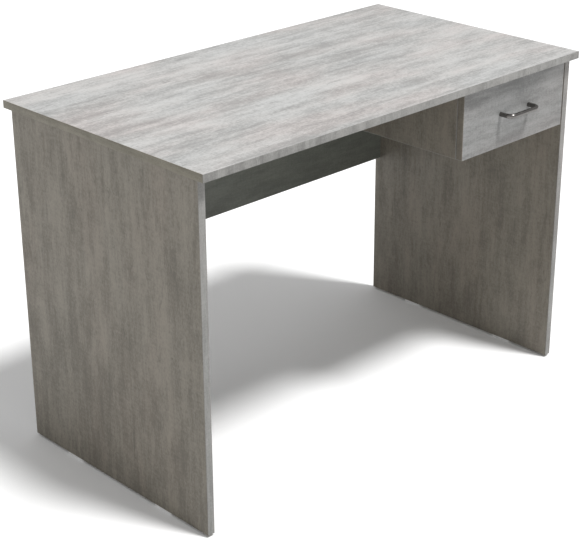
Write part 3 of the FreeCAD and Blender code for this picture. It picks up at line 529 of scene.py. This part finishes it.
FINISHES = {
    "worktop_laminate": Melamine(
        "worktop_laminate", TOP_TONE, Grain.X, contrast=1.2, smudge=0.55, tint=0.9
    ),
    "worktop_band": Melamine("worktop_band", EDGE_PAINTED_SHADE_TONE, Grain.Z, scale=0.8, tint=0.3, shift=3.0),
    "worktop_end_band": Melamine(
        "worktop_end_band", END_PAINTED_SHADE_TONE, Grain.Y, scale=0.5, contrast=0.8, tint=0.2, shift=5.0
    ),
    "panel_laminate": Melamine(
        "panel_laminate", PANEL_PAINTED_SHADE_TONE, Grain.Z, contrast=1.1, smudge=0.5, tint=0.4, shift=11.0
    ),
    # The modesty panel's front face is painted in SHADE_TONE as painted shade, and its rear face gets the
    # side panels' tone.
    "modesty_laminate": Melamine(
        "modesty_laminate",
        SHADE_TONE,
        Grain.X,
        contrast=0.8,
        chalk=0.2,
        tint=0.2,
        shift=17.0,
        rear_tone=PANEL_PAINTED_SHADE_TONE,
        rear_from=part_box("modesty_panel")[1].y - 0.001,
    ),
    "front_laminate": Melamine("front_laminate", FRONT_PAINTED_SHADE_TONE, Grain.X, scale=0.9, shift=29.0),
    "drawer_laminate": Melamine("drawer_laminate", FRONT_PAINTED_SHADE_TONE, Grain.Y, chalk=0.3, shift=37.0),
    "panel_band": Melamine(
        "panel_band", EDGE_PAINTED_SHADE_TONE, Grain.Z, scale=0.7, contrast=0.8, chalk=0.3, shift=43.0
    ),
    "front_end_band": Melamine("front_end_band", PANEL_PAINTED_SHADE_TONE, Grain.Z, scale=0.5, chalk=0.4, shift=9.0),
    "flat_band": Melamine("flat_band", EDGE_PAINTED_SHADE_TONE, Grain.X, scale=0.7, chalk=0.3, shift=47.0),
    "hardboard": Melamine(
        "hardboard", (0.56, 0.55, 0.53), Grain.Y, scale=0.5, contrast=0.4, chalk=0.1, smudge=0.05, tint=0.2
    ),
    "dowel_beech": Melamine(
        "dowel_beech", (0.52, 0.35, 0.2), Grain.Z, scale=0.15, contrast=0.8, chalk=0.0, smudge=0.2, tint=0.2
    ),
    "handle_nickel": Plated(
        "handle_nickel", (0.17, 0.162, 0.155), 0.2, grains=(120.0, 900.0, 900.0), anisotropy=0.3
    ),
    "cam_zinc": Plated("cam_zinc", (0.50, 0.50, 0.50), 0.42, depth=0.00006),
    "bolt_steel": Plated("bolt_steel", (0.62, 0.61, 0.58), 0.3),
    "nail_steel": Plated("nail_steel", (0.45, 0.45, 0.45), 0.35),
    "rivet_steel": Plated("rivet_steel", (0.55, 0.55, 0.55), 0.28),
    "runner_paint": Moulded("runner_paint", (0.78, 0.78, 0.76), 0.38, texture=1300.0, coat=0.15),
    "roller_nylon": Moulded("roller_nylon", (0.72, 0.71, 0.66), 0.45, texture=600.0),
    "glide_plastic": Moulded("glide_plastic", (0.74, 0.74, 0.73), 0.5, texture=700.0),
}


class Paintbox:
    """Makes each finish once, and dresses pieces and nodes with it."""

    def __init__(self) -> None:
        """Start with no material made."""
        self.made: dict[str, bpy.types.Material] = {}

    def material(self, name: str) -> bpy.types.Material:
        """Find the material of a finish, made when it is first asked for.

        Args:
            name: The finish.

        Returns:
            Its material.
        """
        if name not in self.made:
            self.made[name] = FINISHES[name].build()
        return self.made[name]

    def dress(self, thing: bpy.types.Object, name: str) -> None:
        """Give a piece or a node one finish all over.

        Args:
            thing: The object.
            name: The finish.
        """
        if not thing.material_slots:
            thing.data.materials.append(self.material(name))
        for slot in thing.material_slots:
            slot.material = self.material(name)


PAINTS = Paintbox()


# ---------------------------------------------------------------------------------------------
# Modelling helpers
# ---------------------------------------------------------------------------------------------
def deselect() -> None:
    """Leave nothing selected, and be in object mode."""
    if bpy.context.object and bpy.context.object.mode != "OBJECT":
        bpy.ops.object.mode_set(mode="OBJECT")
    bpy.ops.object.select_all(action="DESELECT")


def named(name: str) -> bpy.types.Object:
    """Name the active object and its mesh, and put its place into its mesh.

    Args:
        name: The piece's name.

    Returns:
        The object.
    """
    piece = bpy.context.object
    piece.name = name
    piece.data.name = name
    bpy.ops.object.transform_apply(location=True, rotation=True, scale=True)
    return piece


def block(name: str, low: Spot, high: Spot) -> bpy.types.Object:
    """Start a piece from a box between two corners.

    Args:
        name: The piece's name.
        low: Its lowest corner.
        high: Its highest corner.

    Returns:
        The piece.
    """
    deselect()
    centre = (Vector(low) + Vector(high)) / 2
    bpy.ops.mesh.primitive_cube_add(size=1.0, location=centre, scale=Vector(high) - Vector(low))
    return named(name)


def disc(
    name: str, centre: Spot, radius: float, length: float, axis: Spot, sides: int = 40
) -> bpy.types.Object:
    """Start a piece from a short cylinder.

    Args:
        name: The piece's name.
        centre: Its middle.
        radius: Its radius.
        length: Its length.
        axis: The way that it points.
        sides: How many sides it has.

    Returns:
        The piece.
    """
    deselect()
    turn = Vector(axis).to_track_quat("Z", "Y").to_euler()
    bpy.ops.mesh.primitive_cylinder_add(
        vertices=sides, radius=radius, depth=length, location=centre, rotation=turn
    )
    return named(name)


def select_edges(piece: bpy.types.Object, chosen: Callable[[Vector, Vector], bool]) -> None:
    """Go into edit mode with only some edges selected.

    Args:
        piece: The piece.
        chosen: Says whether the edge between two points is wanted.
    """
    bpy.context.view_layer.objects.active = piece
    bpy.ops.object.mode_set(mode="EDIT")
    bpy.ops.mesh.select_mode(type="EDGE")
    bpy.ops.mesh.select_all(action="DESELECT")
    bpy.ops.object.mode_set(mode="OBJECT")
    points = piece.data.vertices
    for edge in piece.data.edges:
        first, second = (points[index].co for index in edge.vertices)
        edge.select = chosen(first, second)
    bpy.ops.object.mode_set(mode="EDIT")


def select_faces(piece: bpy.types.Object, chosen: Callable[[Vector, Vector], bool]) -> None:
    """Go into edit mode with only some faces selected.

    Args:
        piece: The piece.
        chosen: Says whether the face with a centre and a normal is wanted.
    """
    bpy.context.view_layer.objects.active = piece
    bpy.ops.object.mode_set(mode="EDIT")
    bpy.ops.mesh.select_mode(type="FACE")
    bpy.ops.mesh.select_all(action="DESELECT")
    bpy.ops.object.mode_set(mode="OBJECT")
    for face in piece.data.polygons:
        face.select = chosen(face.center, face.normal)
    bpy.ops.object.mode_set(mode="EDIT")


def bevel_edges(
    piece: bpy.types.Object, chosen: Callable[[Vector, Vector], bool], width: float, segments: int = 3
) -> None:
    """Round some edges of a piece.

    Args:
        piece: The piece.
        chosen: Says whether the edge between two points is wanted.
        width: The width of the rounding.
        segments: How many steps it has.
    """
    select_edges(piece, chosen)
    bpy.ops.mesh.bevel(offset=width, segments=segments, affect="EDGES", clamp_overlap=True)
    bpy.ops.object.mode_set(mode="OBJECT")


def rounded_all_over(piece: bpy.types.Object, width: float, segments: int = 3, sharp: float = 30.0) -> None:
    """Round every sharp edge of a piece with a modifier, and apply it.

    Args:
        piece: The piece.
        width: The width of the rounding.
        segments: How many steps it has.
        sharp: The angle in degrees from which an edge counts as sharp.
    """
    deselect()
    piece.select_set(True)
    bpy.context.view_layer.objects.active = piece
    bevel = piece.modifiers.new("Rounding", "BEVEL")
    bevel.width = width
    bevel.segments = segments
    bevel.limit_method = "ANGLE"
    bevel.angle_limit = math.radians(sharp)
    bpy.ops.object.modifier_apply(modifier=bevel.name)


def smooth(piece: bpy.types.Object, angle: float = 35.0) -> None:
    """Shade a piece smooth, apart from its sharp edges.

    Args:
        piece: The piece.
        angle: The angle in degrees past which an edge stays sharp.
    """
    deselect()
    piece.select_set(True)
    bpy.context.view_layer.objects.active = piece
    bpy.ops.object.shade_smooth_by_angle(angle=math.radians(angle))


def copy_to(piece: bpy.types.Object, name: str, shift: Spot) -> bpy.types.Object:
    """Copy a piece, with its own mesh, and move the copy's mesh.

    Args:
        piece: The piece to copy.
        name: The copy's name.
        shift: How far the copy is moved.

    Returns:
        The copy.
    """
    deselect()
    piece.select_set(True)
    bpy.context.view_layer.objects.active = piece
    bpy.ops.object.duplicate(linked=False)
    bpy.context.object.location = shift
    return named(name)


def placed_copy(piece: bpy.types.Object, name: str, spot: Spot, heading: Spot) -> bpy.types.Object:
    """Copy a piece that was modelled at the origin pointing up, and put the copy in its place.

    Args:
        piece: The piece to copy.
        name: The copy's name.
        spot: Where the copy's origin comes.
        heading: Where its upward way comes to point.

    Returns:
        The copy.
    """
    deselect()
    piece.select_set(True)
    bpy.context.view_layer.objects.active = piece
    bpy.ops.object.duplicate(linked=False)
    copy = bpy.context.object
    copy.location = spot
    copy.rotation_euler = Vector(heading).to_track_quat("Z", "Y").to_euler()
    return named(name)


def carve(piece: bpy.types.Object, tool: bpy.types.Object) -> None:
    """Cut a tool's shape out of a piece, and throw the tool away.

    Args:
        piece: The piece.
        tool: The tool.
    """
    deselect()
    piece.select_set(True)
    bpy.context.view_layer.objects.active = piece
    cut = piece.modifiers.new("Cut", "BOOLEAN")
    cut.operation = "DIFFERENCE"
    cut.object = tool
    bpy.ops.object.modifier_apply(modifier=cut.name)
    bpy.data.objects.remove(tool)


def box_of(points: Sequence[Vector]) -> tuple[Vector, Vector]:
    """Find the box round some points.

    Args:
        points: The points.

    Returns:
        Its lowest and highest corners.
    """
    low = Vector(min(point[axis] for point in points) for axis in range(3))
    high = Vector(max(point[axis] for point in points) for axis in range(3))
    return low, high


def solids_of(node: str) -> list[list[Vector]]:
    """Sort a node's points into its separate solids.

    Args:
        node: The node.

    Returns:
        The points of each solid, in order of place.
    """
    mesh = frame["nodes"][node].data
    keys = [tuple(round(part, 6) for part in vertex.co) for vertex in mesh.vertices]
    leader = {key: key for key in keys}

    def first(key: Spot) -> Spot:
        """Find the point that stands for the solid of another point.

        Args:
            key: The other point.

        Returns:
            The point that stands for its solid.
        """
        while leader[key] != key:
            leader[key] = leader[leader[key]]
            key = leader[key]
        return key

    for face in mesh.polygons:
        corners = [keys[index] for index in face.vertices]
        for corner in corners[1:]:
            leader[first(corner)] = first(corners[0])
    solids: dict[Spot, list[Vector]] = {}
    for key in sorted(leader):
        solids.setdefault(first(key), []).append(Vector(key))
    return list(solids.values())


def joined(name: str, pieces: Sequence[bpy.types.Object]) -> bpy.types.Object:
    """Join several pieces into one object.

    Args:
        name: The joined piece's name.
        pieces: The pieces.

    Returns:
        The joined piece.
    """
    deselect()
    for piece in pieces:
        piece.select_set(True)
    bpy.context.view_layer.objects.active = pieces[0]
    if len(pieces) > 1:
        bpy.ops.object.join()
    return named(name)


def body_of_node(node: str) -> str:
    """The name of the body that holds a node."""
    bodies = frame["record"]["behaviour"]["bodies"]
    return next(body for body, nodes in bodies.items() if node in nodes)


def slot_of_node(node: str) -> str:
    """The name of a node's material slot in the record."""
    subparts = frame["record"]["subparts"]
    return next(part["material_slot"] for part in subparts if part["node"] == node)


def stand_for(piece: bpy.types.Object, node: str) -> None:
    """Let a dressed piece ride with a node's body and put it in the node's place.

    Args:
        piece: The piece.
        node: The node that it replaces.
    """
    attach(piece, body_of_node(node))
    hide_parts(node)
    LOG.info("%s stands for %s: %d faces", piece.name, node, len(piece.data.polygons))


def keep(node: str, finish: str) -> None:
    """Keep a node's own shape and give it a finish.

    Args:
        node: The node.
        finish: The finish.
    """
    PAINTS.dress(frame["nodes"][node], finish)
    LOG.info("%s keeps its shape, in %s", node, finish)


# ---------------------------------------------------------------------------------------------
# Boards and their edge bands
# ---------------------------------------------------------------------------------------------
@dataclass
class EdgeStrip:
    """One strip of edge band, rounded along its outer edges.

    Attributes:
        name: The strip's name.
        low: Its lowest corner.
        high: Its highest corner.
        outward: The axis and the sign of the way that it faces, such as (1, -1) for the front.
        finish: Its finish.
        rounding: The radius along its outer edges.
    """

    name: str
    low: Spot
    high: Spot
    outward: tuple[int, int]
    finish: str
    rounding: float = 0.0006

    def build(self) -> bpy.types.Object:
        """Model the strip.

        Returns:
            The strip.
        """
        strip = block(self.name, self.low, self.high)
        axis, sign = self.outward
        face = self.high[axis] if sign > 0 else self.low[axis]

        def outer(first: Vector, second: Vector) -> bool:
            """Whether an edge lies on the strip's outer face."""
            return abs(first[axis] - face) < 1e-6 and abs(second[axis] - face) < 1e-6

        bevel_edges(strip, outer, self.rounding)
        smooth(strip)
        PAINTS.dress(strip, self.finish)
        return strip


@dataclass
class Carcass:
    """The desktop, the side panels, the modesty panel and the partition.

    Attributes:
        band: The thickness of the edge bands.
    """

    band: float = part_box("desktop_board")[0].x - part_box("desktop_edge_bands")[0].x

    def dress_boards(self) -> None:
        """Give the boards their prints, darker on the upright boards as painted shade."""
        keep("desktop_board", "worktop_laminate")
        keep("left_side_panel", "panel_laminate")
        keep("right_side_panel", "panel_laminate")
        keep("modesty_panel", "modesty_laminate")
        keep("drawer_partition", "panel_laminate")

    def band_desktop(self) -> None:
        """Model the four strips round the desktop."""
        low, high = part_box("desktop_edge_bands")
        inner_low, inner_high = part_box("desktop_board")
        left_high = (inner_low.x, inner_high.y, high.z)
        right_low = (inner_high.x, inner_low.y, low.z)
        right_high = (high.x, inner_high.y, high.z)
        strips = [
            EdgeStrip("strip_front", low, (high.x, inner_low.y, high.z), (1, -1), "worktop_band"),
            EdgeStrip("strip_back", (low.x, inner_high.y, low.z), high, (1, 1), "worktop_band"),
            EdgeStrip("strip_left", (low.x, inner_low.y, low.z), left_high, (0, -1), "worktop_end_band"),
            EdgeStrip("strip_right", right_low, right_high, (0, 1), "worktop_end_band"),
        ]
        stand_for(joined("desktop_banding", [strip.build() for strip in strips]), "desktop_edge_bands")

    def band_side_panels(self) -> None:
        """Model the strips on the front and back edges of both side panels."""
        strips = []
        for side in ("left", "right"):
            low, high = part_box(f"{side}_side_panel")
            front_low = (low.x, low.y - self.band, low.z)
            back_high = (high.x, high.y + self.band, high.z)
            front = EdgeStrip(f"{side}_front", front_low, (high.x, low.y, high.z), (1, -1), "panel_band")
            back = EdgeStrip(f"{side}_back", (low.x, high.y, low.z), back_high, (1, 1), "panel_band")
            strips += [front.build(), back.build()]
        stand_for(joined("side_panel_banding", strips), "side_panel_edge_bands")

    def band_small_boards(self) -> None:
        """Model the strips of the modesty panel and the partition."""
        low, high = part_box("modesty_edge_band")
        strip = EdgeStrip("modesty_banding", low, high, (2, -1), "flat_band").build()
        stand_for(strip, "modesty_edge_band")

        low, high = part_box("partition_edge_bands")
        front_low = (low.x, low.y, low.z + self.band)
        front_high = (high.x, low.y + self.band, high.z)
        foot = EdgeStrip("partition_foot", low, (high.x, high.y, low.z + self.band), (2, -1), "panel_band")
        front = EdgeStrip("partition_front", front_low, front_high, (1, -1), "panel_band")
        stand_for(joined("partition_banding", [foot.build(), front.build()]), "partition_edge_bands")

    def build(self) -> None:
        """Build and dress the whole carcass."""
        self.dress_boards()
        self.band_desktop()
        self.band_side_panels()
        self.band_small_boards()


# ---------------------------------------------------------------------------------------------
# Drawer
# ---------------------------------------------------------------------------------------------
@dataclass
class Drawer:
    """The drawer front and the box behind it.

    Attributes:
        band: The thickness of the edge bands.
    """

    band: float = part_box("drawer_front")[0].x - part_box("drawer_front_edge_bands")[0].x

    def dress_boards(self) -> None:
        """Give the drawer's boards their prints, darkened as painted shade."""
        keep("drawer_front", "front_laminate")
        keep("drawer_left_side", "drawer_laminate")
        keep("drawer_right_side", "drawer_laminate")
        keep("drawer_back", "drawer_laminate")
        keep("drawer_bottom", "hardboard")

    def band_front(self) -> None:
        """Model the four strips round the drawer front."""
        low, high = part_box("drawer_front_edge_bands")
        band = self.band
        foot, top = low.z + band, high.z - band
        left_high = (low.x + band, high.y, top)
        right_low = (high.x - band, low.y, foot)
        strips = [
            EdgeStrip("front_foot", low, (high.x, high.y, foot), (2, -1), "flat_band"),
            EdgeStrip("front_top", (low.x, low.y, top), high, (2, 1), "flat_band"),
            EdgeStrip("front_left", (low.x, low.y, foot), left_high, (0, -1), "front_end_band"),
            EdgeStrip("front_right", right_low, (high.x, high.y, top), (0, 1), "front_end_band"),
        ]
        piece = joined("drawer_front_banding", [strip.build() for strip in strips])
        stand_for(piece, "drawer_front_edge_bands")

    def band_box(self) -> None:
        """Model the strips along the top edges of the drawer box."""
        low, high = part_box("drawer_box_edge_bands")
        strips = []
        for board in ("drawer_left_side", "drawer_right_side", "drawer_back"):
            board_low, board_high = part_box(board)
            corner = (board_low.x, board_low.y, low.z)
            far = (board_high.x, board_high.y, high.z)
            strips.append(EdgeStrip(f"{board}_top", corner, far, (2, 1), "drawer_laminate").build())
        stand_for(joined("drawer_box_banding", strips), "drawer_box_edge_bands")

    def build(self) -> None:
        """Build and dress the whole drawer."""
        self.dress_boards()
        self.band_front()
        self.band_box()


@dataclass
class BowHandle:
    """The bow handle of bent round rod.

    Attributes:
        bend: The radius of the bends, on the rod's middle line.
        sides: How many sides the rod has.
        steps: How many steps a bend has.
    """

    bend: float = 0.014
    sides: int = 40
    steps: int = 14

    def build(self) -> None:
        """Model the rod from one foot to the other, then dress it."""
        low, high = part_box("handle")
        radius = (high.z - low.z) / 2
        middle_z = (low.z + high.z) / 2
        reach = high.y - low.y - radius
        left, right = self.feet(high.y)
        deselect()
        bpy.ops.mesh.primitive_circle_add(
            vertices=self.sides,
            radius=radius,
            fill_type="NGON",
            location=(left, high.y, middle_z),
            rotation=(math.pi / 2, 0, 0),
        )
        rod = named("bow_handle")
        bpy.ops.object.mode_set(mode="EDIT")
        bpy.ops.mesh.select_all(action="SELECT")
        self.straight((0, self.bend - reach, 0))
        self.turn((left + self.bend, high.y - reach + self.bend, middle_z))
        self.straight((right - left - 2 * self.bend, 0, 0))
        self.turn((right - self.bend, high.y - reach + self.bend, middle_z))
        self.straight((0, reach - self.bend, 0))
        bpy.ops.mesh.select_all(action="SELECT")
        bpy.ops.mesh.remove_doubles(threshold=1e-6)
        bpy.ops.mesh.normals_make_consistent(inside=False)
        bpy.ops.object.mode_set(mode="OBJECT")
        smooth(rod)
        PAINTS.dress(rod, "handle_nickel")
        stand_for(rod, "handle")

    def feet(self, plane: float) -> tuple[float, float]:
        """The X places of the middles of both feet, from the node's points on the drawer front.

        Args:
            plane: The Y place of the drawer front's face.

        Returns:
            The left and the right place.
        """
        points = [p.co.x for p in frame["nodes"]["handle"].data.vertices if abs(p.co.y - plane) < 1e-5]
        middle = (min(points) + max(points)) / 2
        left = [x for x in points if x < middle]
        right = [x for x in points if x > middle]
        return (min(left) + max(left)) / 2, (min(right) + max(right)) / 2

    def straight(self, run: Spot) -> None:
        """Draw the rod's open end straight on."""
        bpy.ops.mesh.extrude_region_move(TRANSFORM_OT_translate={"value": run})

    def turn(self, centre: Spot) -> None:
        """Draw the rod's open end round a quarter turn.

        Args:
            centre: The middle of the bend.
        """
        bpy.ops.mesh.spin(steps=self.steps, angle=math.pi / 2, center=centre, axis=(0, 0, -1))


# ---------------------------------------------------------------------------------------------
# Hardware
# ---------------------------------------------------------------------------------------------
@dataclass(frozen=True)
class Spindle:
    """The place and sizes of one round part with a head, read from a node's solid.

    Attributes:
        head_end: The middle of the head's outer face.
        heading: The way from the tip to the head.
        length: The whole length.
        head_radius: The head's radius.
        head: How thick the head is.
        shank_radius: The shank's radius.
    """

    head_end: Spot
    heading: Spot
    length: float
    head_radius: float
    head: float
    shank_radius: float

    @classmethod
    def measure(cls, points: Sequence[Vector]) -> "Spindle":
        """Measure the solid that some points belong to.

        Args:
            points: The solid's points.

        Returns:
            Its place and sizes.
        """
        low, high = box_of(points)
        size = high - low
        axis = max(range(3), key=lambda index: size[index])
        middle = (low + high) / 2

        def radius(point: Vector) -> float:
            """Measure how far a point is from the solid's own axis.

            Args:
                point: The point.

            Returns:
                The distance.
            """
            away = point - middle
            away[axis] = 0.0
            return away.length

        head_radius = max(radius(point) for point in points)
        wide = [point[axis] for point in points if radius(point) > head_radius * 0.9]
        sign = 1 if sum(wide) / len(wide) > middle[axis] else -1
        end = high[axis] if sign > 0 else low[axis]
        head = max(abs(end - place) for place in wide)
        shank = [radius(point) for point in points if abs(point[axis] - end) > head + 1e-5]
        heading = Vector((0.0, 0.0, 0.0))
        heading[axis] = sign
        head_end = middle.copy()
        head_end[axis] = end
        return cls(tuple(head_end), tuple(heading), size[axis], head_radius, head, max(shank))


@dataclass
class HeadedSet:
    """The screws or the rivets of one node, with domed heads.

    Attributes:
        node: The node.
        finish: The finish.
        cross: Whether the heads have a cross recess for a driver.
    """

    node: str
    finish: str
    cross: bool

    def pattern(self, spindle: Spindle) -> bpy.types.Object:
        """Model one with its head's outer face at the origin, pointing up.

        Args:
            spindle: The sizes.

        Returns:
            The pattern.
        """
        head = disc("head", (0, 0, -spindle.head / 2), spindle.head_radius, spindle.head, (0, 0, 1))

        def rim(first: Vector, second: Vector) -> bool:
            """Whether an edge goes round the head's outer face."""
            return abs(first.z) < 1e-7 and abs(second.z) < 1e-7

        bevel_edges(head, rim, spindle.head * 0.8, 5)
        length = spindle.length - spindle.head
        middle = (0, 0, -spindle.head - length / 2)
        shank = disc("shank", middle, spindle.shank_radius, length, (0, 0, 1), 20)
        tip = -spindle.length + 1e-6
        bevel_edges(shank, lambda a, b: max(a.z, b.z) < tip, spindle.shank_radius * 0.6, 2)
        if self.cross:
            arm, width, depth = spindle.head_radius * 0.55, spindle.head_radius * 0.1, spindle.head * 0.6
            carve(head, block("slot", (-arm, -width, -depth), (arm, width, depth)))
            carve(head, block("slot", (-width, -arm, -depth), (width, arm, depth)))
        both = joined("pattern", [head, shank])
        smooth(both)
        return both

    def build(self) -> None:
        """Model one and copy it to each place."""
        spindles = [Spindle.measure(points) for points in solids_of(self.node)]
        pattern = self.pattern(spindles[0])
        copies = [
            placed_copy(pattern, f"{self.node}_{number}", spindle.head_end, spindle.heading)
            for number, spindle in enumerate(spindles)
        ]
        bpy.data.objects.remove(pattern)
        piece = joined(f"{self.node}_domed", copies)
        PAINTS.dress(piece, self.finish)
        stand_for(piece, self.node)


@dataclass
class Roller:
    """A moulded roller with a bore, rounded rims and a sunk ring in each face.

    Attributes:
        node: The node.
        bore: The bore's radius.
        rim: The width of the rim round the sunk ring.
        sunk: How deep the ring is sunk.
    """

    node: str
    bore: float = 0.0022
    rim: float = 0.0016
    sunk: float = 0.0005

    def build(self) -> None:
        """Model the roller in its place."""
        low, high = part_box(self.node)
        radius = (high.z - low.z) / 2
        width = high.x - low.x
        middle = (low + high) / 2
        roller = disc(f"{self.node}_moulded", tuple(middle), radius, width, (1, 0, 0), 64)
        select_faces(roller, lambda centre, normal: abs(normal.x) > 0.9)
        bpy.ops.mesh.inset(thickness=radius - self.bore)
        bpy.ops.mesh.bridge_edge_loops()
        bpy.ops.object.mode_set(mode="OBJECT")
        select_faces(roller, lambda centre, normal: abs(normal.x) > 0.9)
        bpy.ops.mesh.inset(thickness=self.rim, depth=-self.sunk)
        bpy.ops.mesh.select_all(action="SELECT")
        bpy.ops.mesh.normals_make_consistent(inside=False)
        bpy.ops.object.mode_set(mode="OBJECT")
        rounded_all_over(roller, 0.0004, 3, 50.0)
        smooth(roller)
        PAINTS.dress(roller, "roller_nylon")
        stand_for(roller, self.node)


@dataclass
class FloorGlides:
    """The plastic glides under the side panels.

    Attributes:
        corner: The radius of the upright corners.
        rounding: The radius round the foot.
        recess: The radius of the recess round a nail's head.
        depth: How deep that recess is.
    """

    corner: float = 0.003
    rounding: float = 0.0012
    recess: float = 0.0027
    depth: float = 0.0016

    def build(self) -> None:
        """Model one glide and copy it to each place."""
        boxes = [box_of(points) for points in solids_of("floor_glides")]
        low, high = boxes[0]
        glide = block("glide", tuple(low), tuple(high))
        bevel_edges(glide, lambda a, b: abs(a.z - b.z) > 1e-4, self.corner, 5)
        foot = low.z
        bevel_edges(glide, lambda a, b: max(a.z, b.z) < foot + 1e-6, self.rounding, 4)
        for nail in solids_of("glide_nails"):
            nail_low, nail_high = box_of(nail)
            middle = (nail_low + nail_high) / 2
            if low.x < middle.x < high.x and low.y < middle.y < high.y:
                spot = (middle.x, middle.y, foot)
                carve(glide, disc("recess", spot, self.recess, 2 * self.depth, (0, 0, 1), 24))
        smooth(glide)
        copies = [
            copy_to(glide, f"glide_{number}", tuple(box[0] - low)) for number, box in enumerate(boxes[1:])
        ]
        piece = joined("floor_glides_moulded", [glide, *copies])
        PAINTS.dress(piece, "glide_plastic")
        stand_for(piece, "floor_glides")


@dataclass
class Eased:
    """A node's own shape with its sharp edges eased, for bent sheet steel and small castings.

    Attributes:
        node: The node.
        finish: The finish.
        width: How far the edges are eased.
    """

    node: str
    finish: str
    width: float

    def build(self) -> None:
        """Copy the node, merge it and ease its edges."""
        deselect()
        source = frame["nodes"][self.node]
        source.select_set(True)
        bpy.context.view_layer.objects.active = source
        bpy.ops.object.duplicate(linked=False)
        piece = bpy.context.object
        piece.parent = None
        piece.name = f"{self.node}_eased"
        piece.data.name = piece.name
        piece.data.materials.clear()
        bpy.ops.object.mode_set(mode="EDIT")
        bpy.ops.mesh.select_all(action="SELECT")
        bpy.ops.mesh.remove_doubles(threshold=1e-6)
        bpy.ops.mesh.dissolve_limited(angle_limit=math.radians(0.5))
        bpy.ops.object.mode_set(mode="OBJECT")
        rounded_all_over(piece, self.width, 2, 50.0)
        smooth(piece)
        PAINTS.dress(piece, self.finish)
        stand_for(piece, self.node)


@dataclass
class Hardware:
    """All the fittings of the carcass and the drawer.

    Attributes:
        easing: How far the edges of runners and cam locks are eased.
    """

    easing: float = 0.0003

    def build(self) -> None:
        """Build every fitting that shows."""
        FloorGlides().build()
        for group in ("cabinet_runner", "drawer_runner", "drawer_back", "handle"):
            HeadedSet(f"{group}_screws", "bolt_steel", True).build()
        for group in ("cabinet_roller", "drawer_roller"):
            HeadedSet(f"{group}_rivets", "rivet_steel", False).build()
        for side in Side:
            Roller(f"cabinet_roller_{side.value}").build()
            Roller(f"drawer_roller_{side.value}").build()
            Eased(f"cabinet_runner_{side.value}", "runner_paint", self.easing).build()
            Eased(f"drawer_runner_{side.value}", "runner_paint", self.easing).build()
        for board in ("side_panel", "modesty", "partition", "drawer"):
            Eased(f"{board}_cam_locks", "cam_zinc", self.easing).build()


# ---------------------------------------------------------------------------------------------
# Studio
# ---------------------------------------------------------------------------------------------
@dataclass
class Studio:
    """The pale floor, the soft light and the camera.

    Attributes:
        key_from: The way towards the main light.
        key_strength: The main light's strength.
        key_angle: How wide the main light looks, in degrees.
        sky_strength: The strength of the light from all round.
        camera_spot: The camera's place, with the desk's origin on the floor.
        camera_tilt: How far the camera looks down, in degrees.
        camera_turn: How far the camera is turned to the right of straight ahead, in degrees.
        lens: The focal length in millimetres on a 36 mm sensor.
        shift: The lens shift sideways and up, as shares of the picture's width.
    """

    key_from: Spot = (0.17, -0.42, 0.89)
    key_strength: float = 3.2
    key_angle: float = 11.0
    sky_strength: float = 0.55
    camera_spot: Spot = (-2.1504, -2.1565, 1.667)
    camera_tilt: float = 23.05
    camera_turn: float = 45.0
    lens: float = 93.78
    shift: tuple[float, float] = (-0.0309, -0.0452)

    def floor(self) -> None:
        """Lay a large pale floor."""
        deselect()
        bpy.ops.mesh.primitive_plane_add(size=60.0)
        floor = named("studio_floor")
        shader = Shader("studio_paper")
        tone = shader.noise((0.8, 0.8, 0.8), 2.0)
        colour = shader.ramp(tone, [(0.3, (0.88, 0.88, 0.88)), (0.7, (0.91, 0.91, 0.91))])
        shader.link(colour, shader.surface.inputs["Base Color"])
        shader.set(Roughness=0.9, Specular_IOR_Level=0.1)
        floor.data.materials.append(shader.material)

    def lights(self) -> None:
        """Light the stage from above, in front and all round."""
        world = bpy.data.worlds.new("studio_sky")
        world.use_nodes = True
        sky = world.node_tree.nodes["Background"]
        sky.inputs["Color"].default_value = (1.0, 1.0, 1.0, 1.0)
        sky.inputs["Strength"].default_value = self.sky_strength
        bpy.context.scene.world = world
        lamp = bpy.data.lights.new("key_light", "SUN")
        lamp.energy = self.key_strength
        lamp.angle = math.radians(self.key_angle)
        key = bpy.data.objects.new("key_light", lamp)
        key.rotation_mode = "QUATERNION"
        key.rotation_quaternion = Vector(self.key_from).to_track_quat("Z", "Y")
        bpy.context.scene.collection.objects.link(key)

    def camera(self) -> None:
        """Set up the camera."""
        data = bpy.data.cameras.new("studio_camera")
        data.sensor_width = 36.0
        data.lens = self.lens
        data.shift_x, data.shift_y = self.shift
        data.clip_end = 100.0
        camera = bpy.data.objects.new("studio_camera", data)
        camera.location = self.camera_spot
        nod = math.radians(90.0 - self.camera_tilt)
        camera.rotation_euler = (nod, 0.0, -math.radians(self.camera_turn))
        bpy.context.scene.collection.objects.link(camera)
        bpy.context.scene.camera = camera

    def build(self) -> None:
        """Set up the whole stage."""
        self.floor()
        self.lights()
        self.camera()
        bpy.context.scene.view_settings.view_transform = "Standard"


def dress_remaining() -> None:
    """Give every node that is still shown, and has no finish of its own yet, its slot's finish."""
    done = {material.name for material in PAINTS.made.values()}
    for name, node in frame["nodes"].items():
        dressed = any(slot.material and slot.material.name in done for slot in node.material_slots)
        if not node.hide_render and not dressed:
            keep(name, slot_of_node(name))


def main() -> None:
    """Build the desk, its stage and its camera."""
    logging.basicConfig(level=logging.INFO, format="%(name)s: %(message)s")
    Carcass().build()
    Drawer().build()
    BowHandle().build()
    Hardware().build()
    dress_remaining()
    Studio().build()


if __name__ == "__main__":
    main()
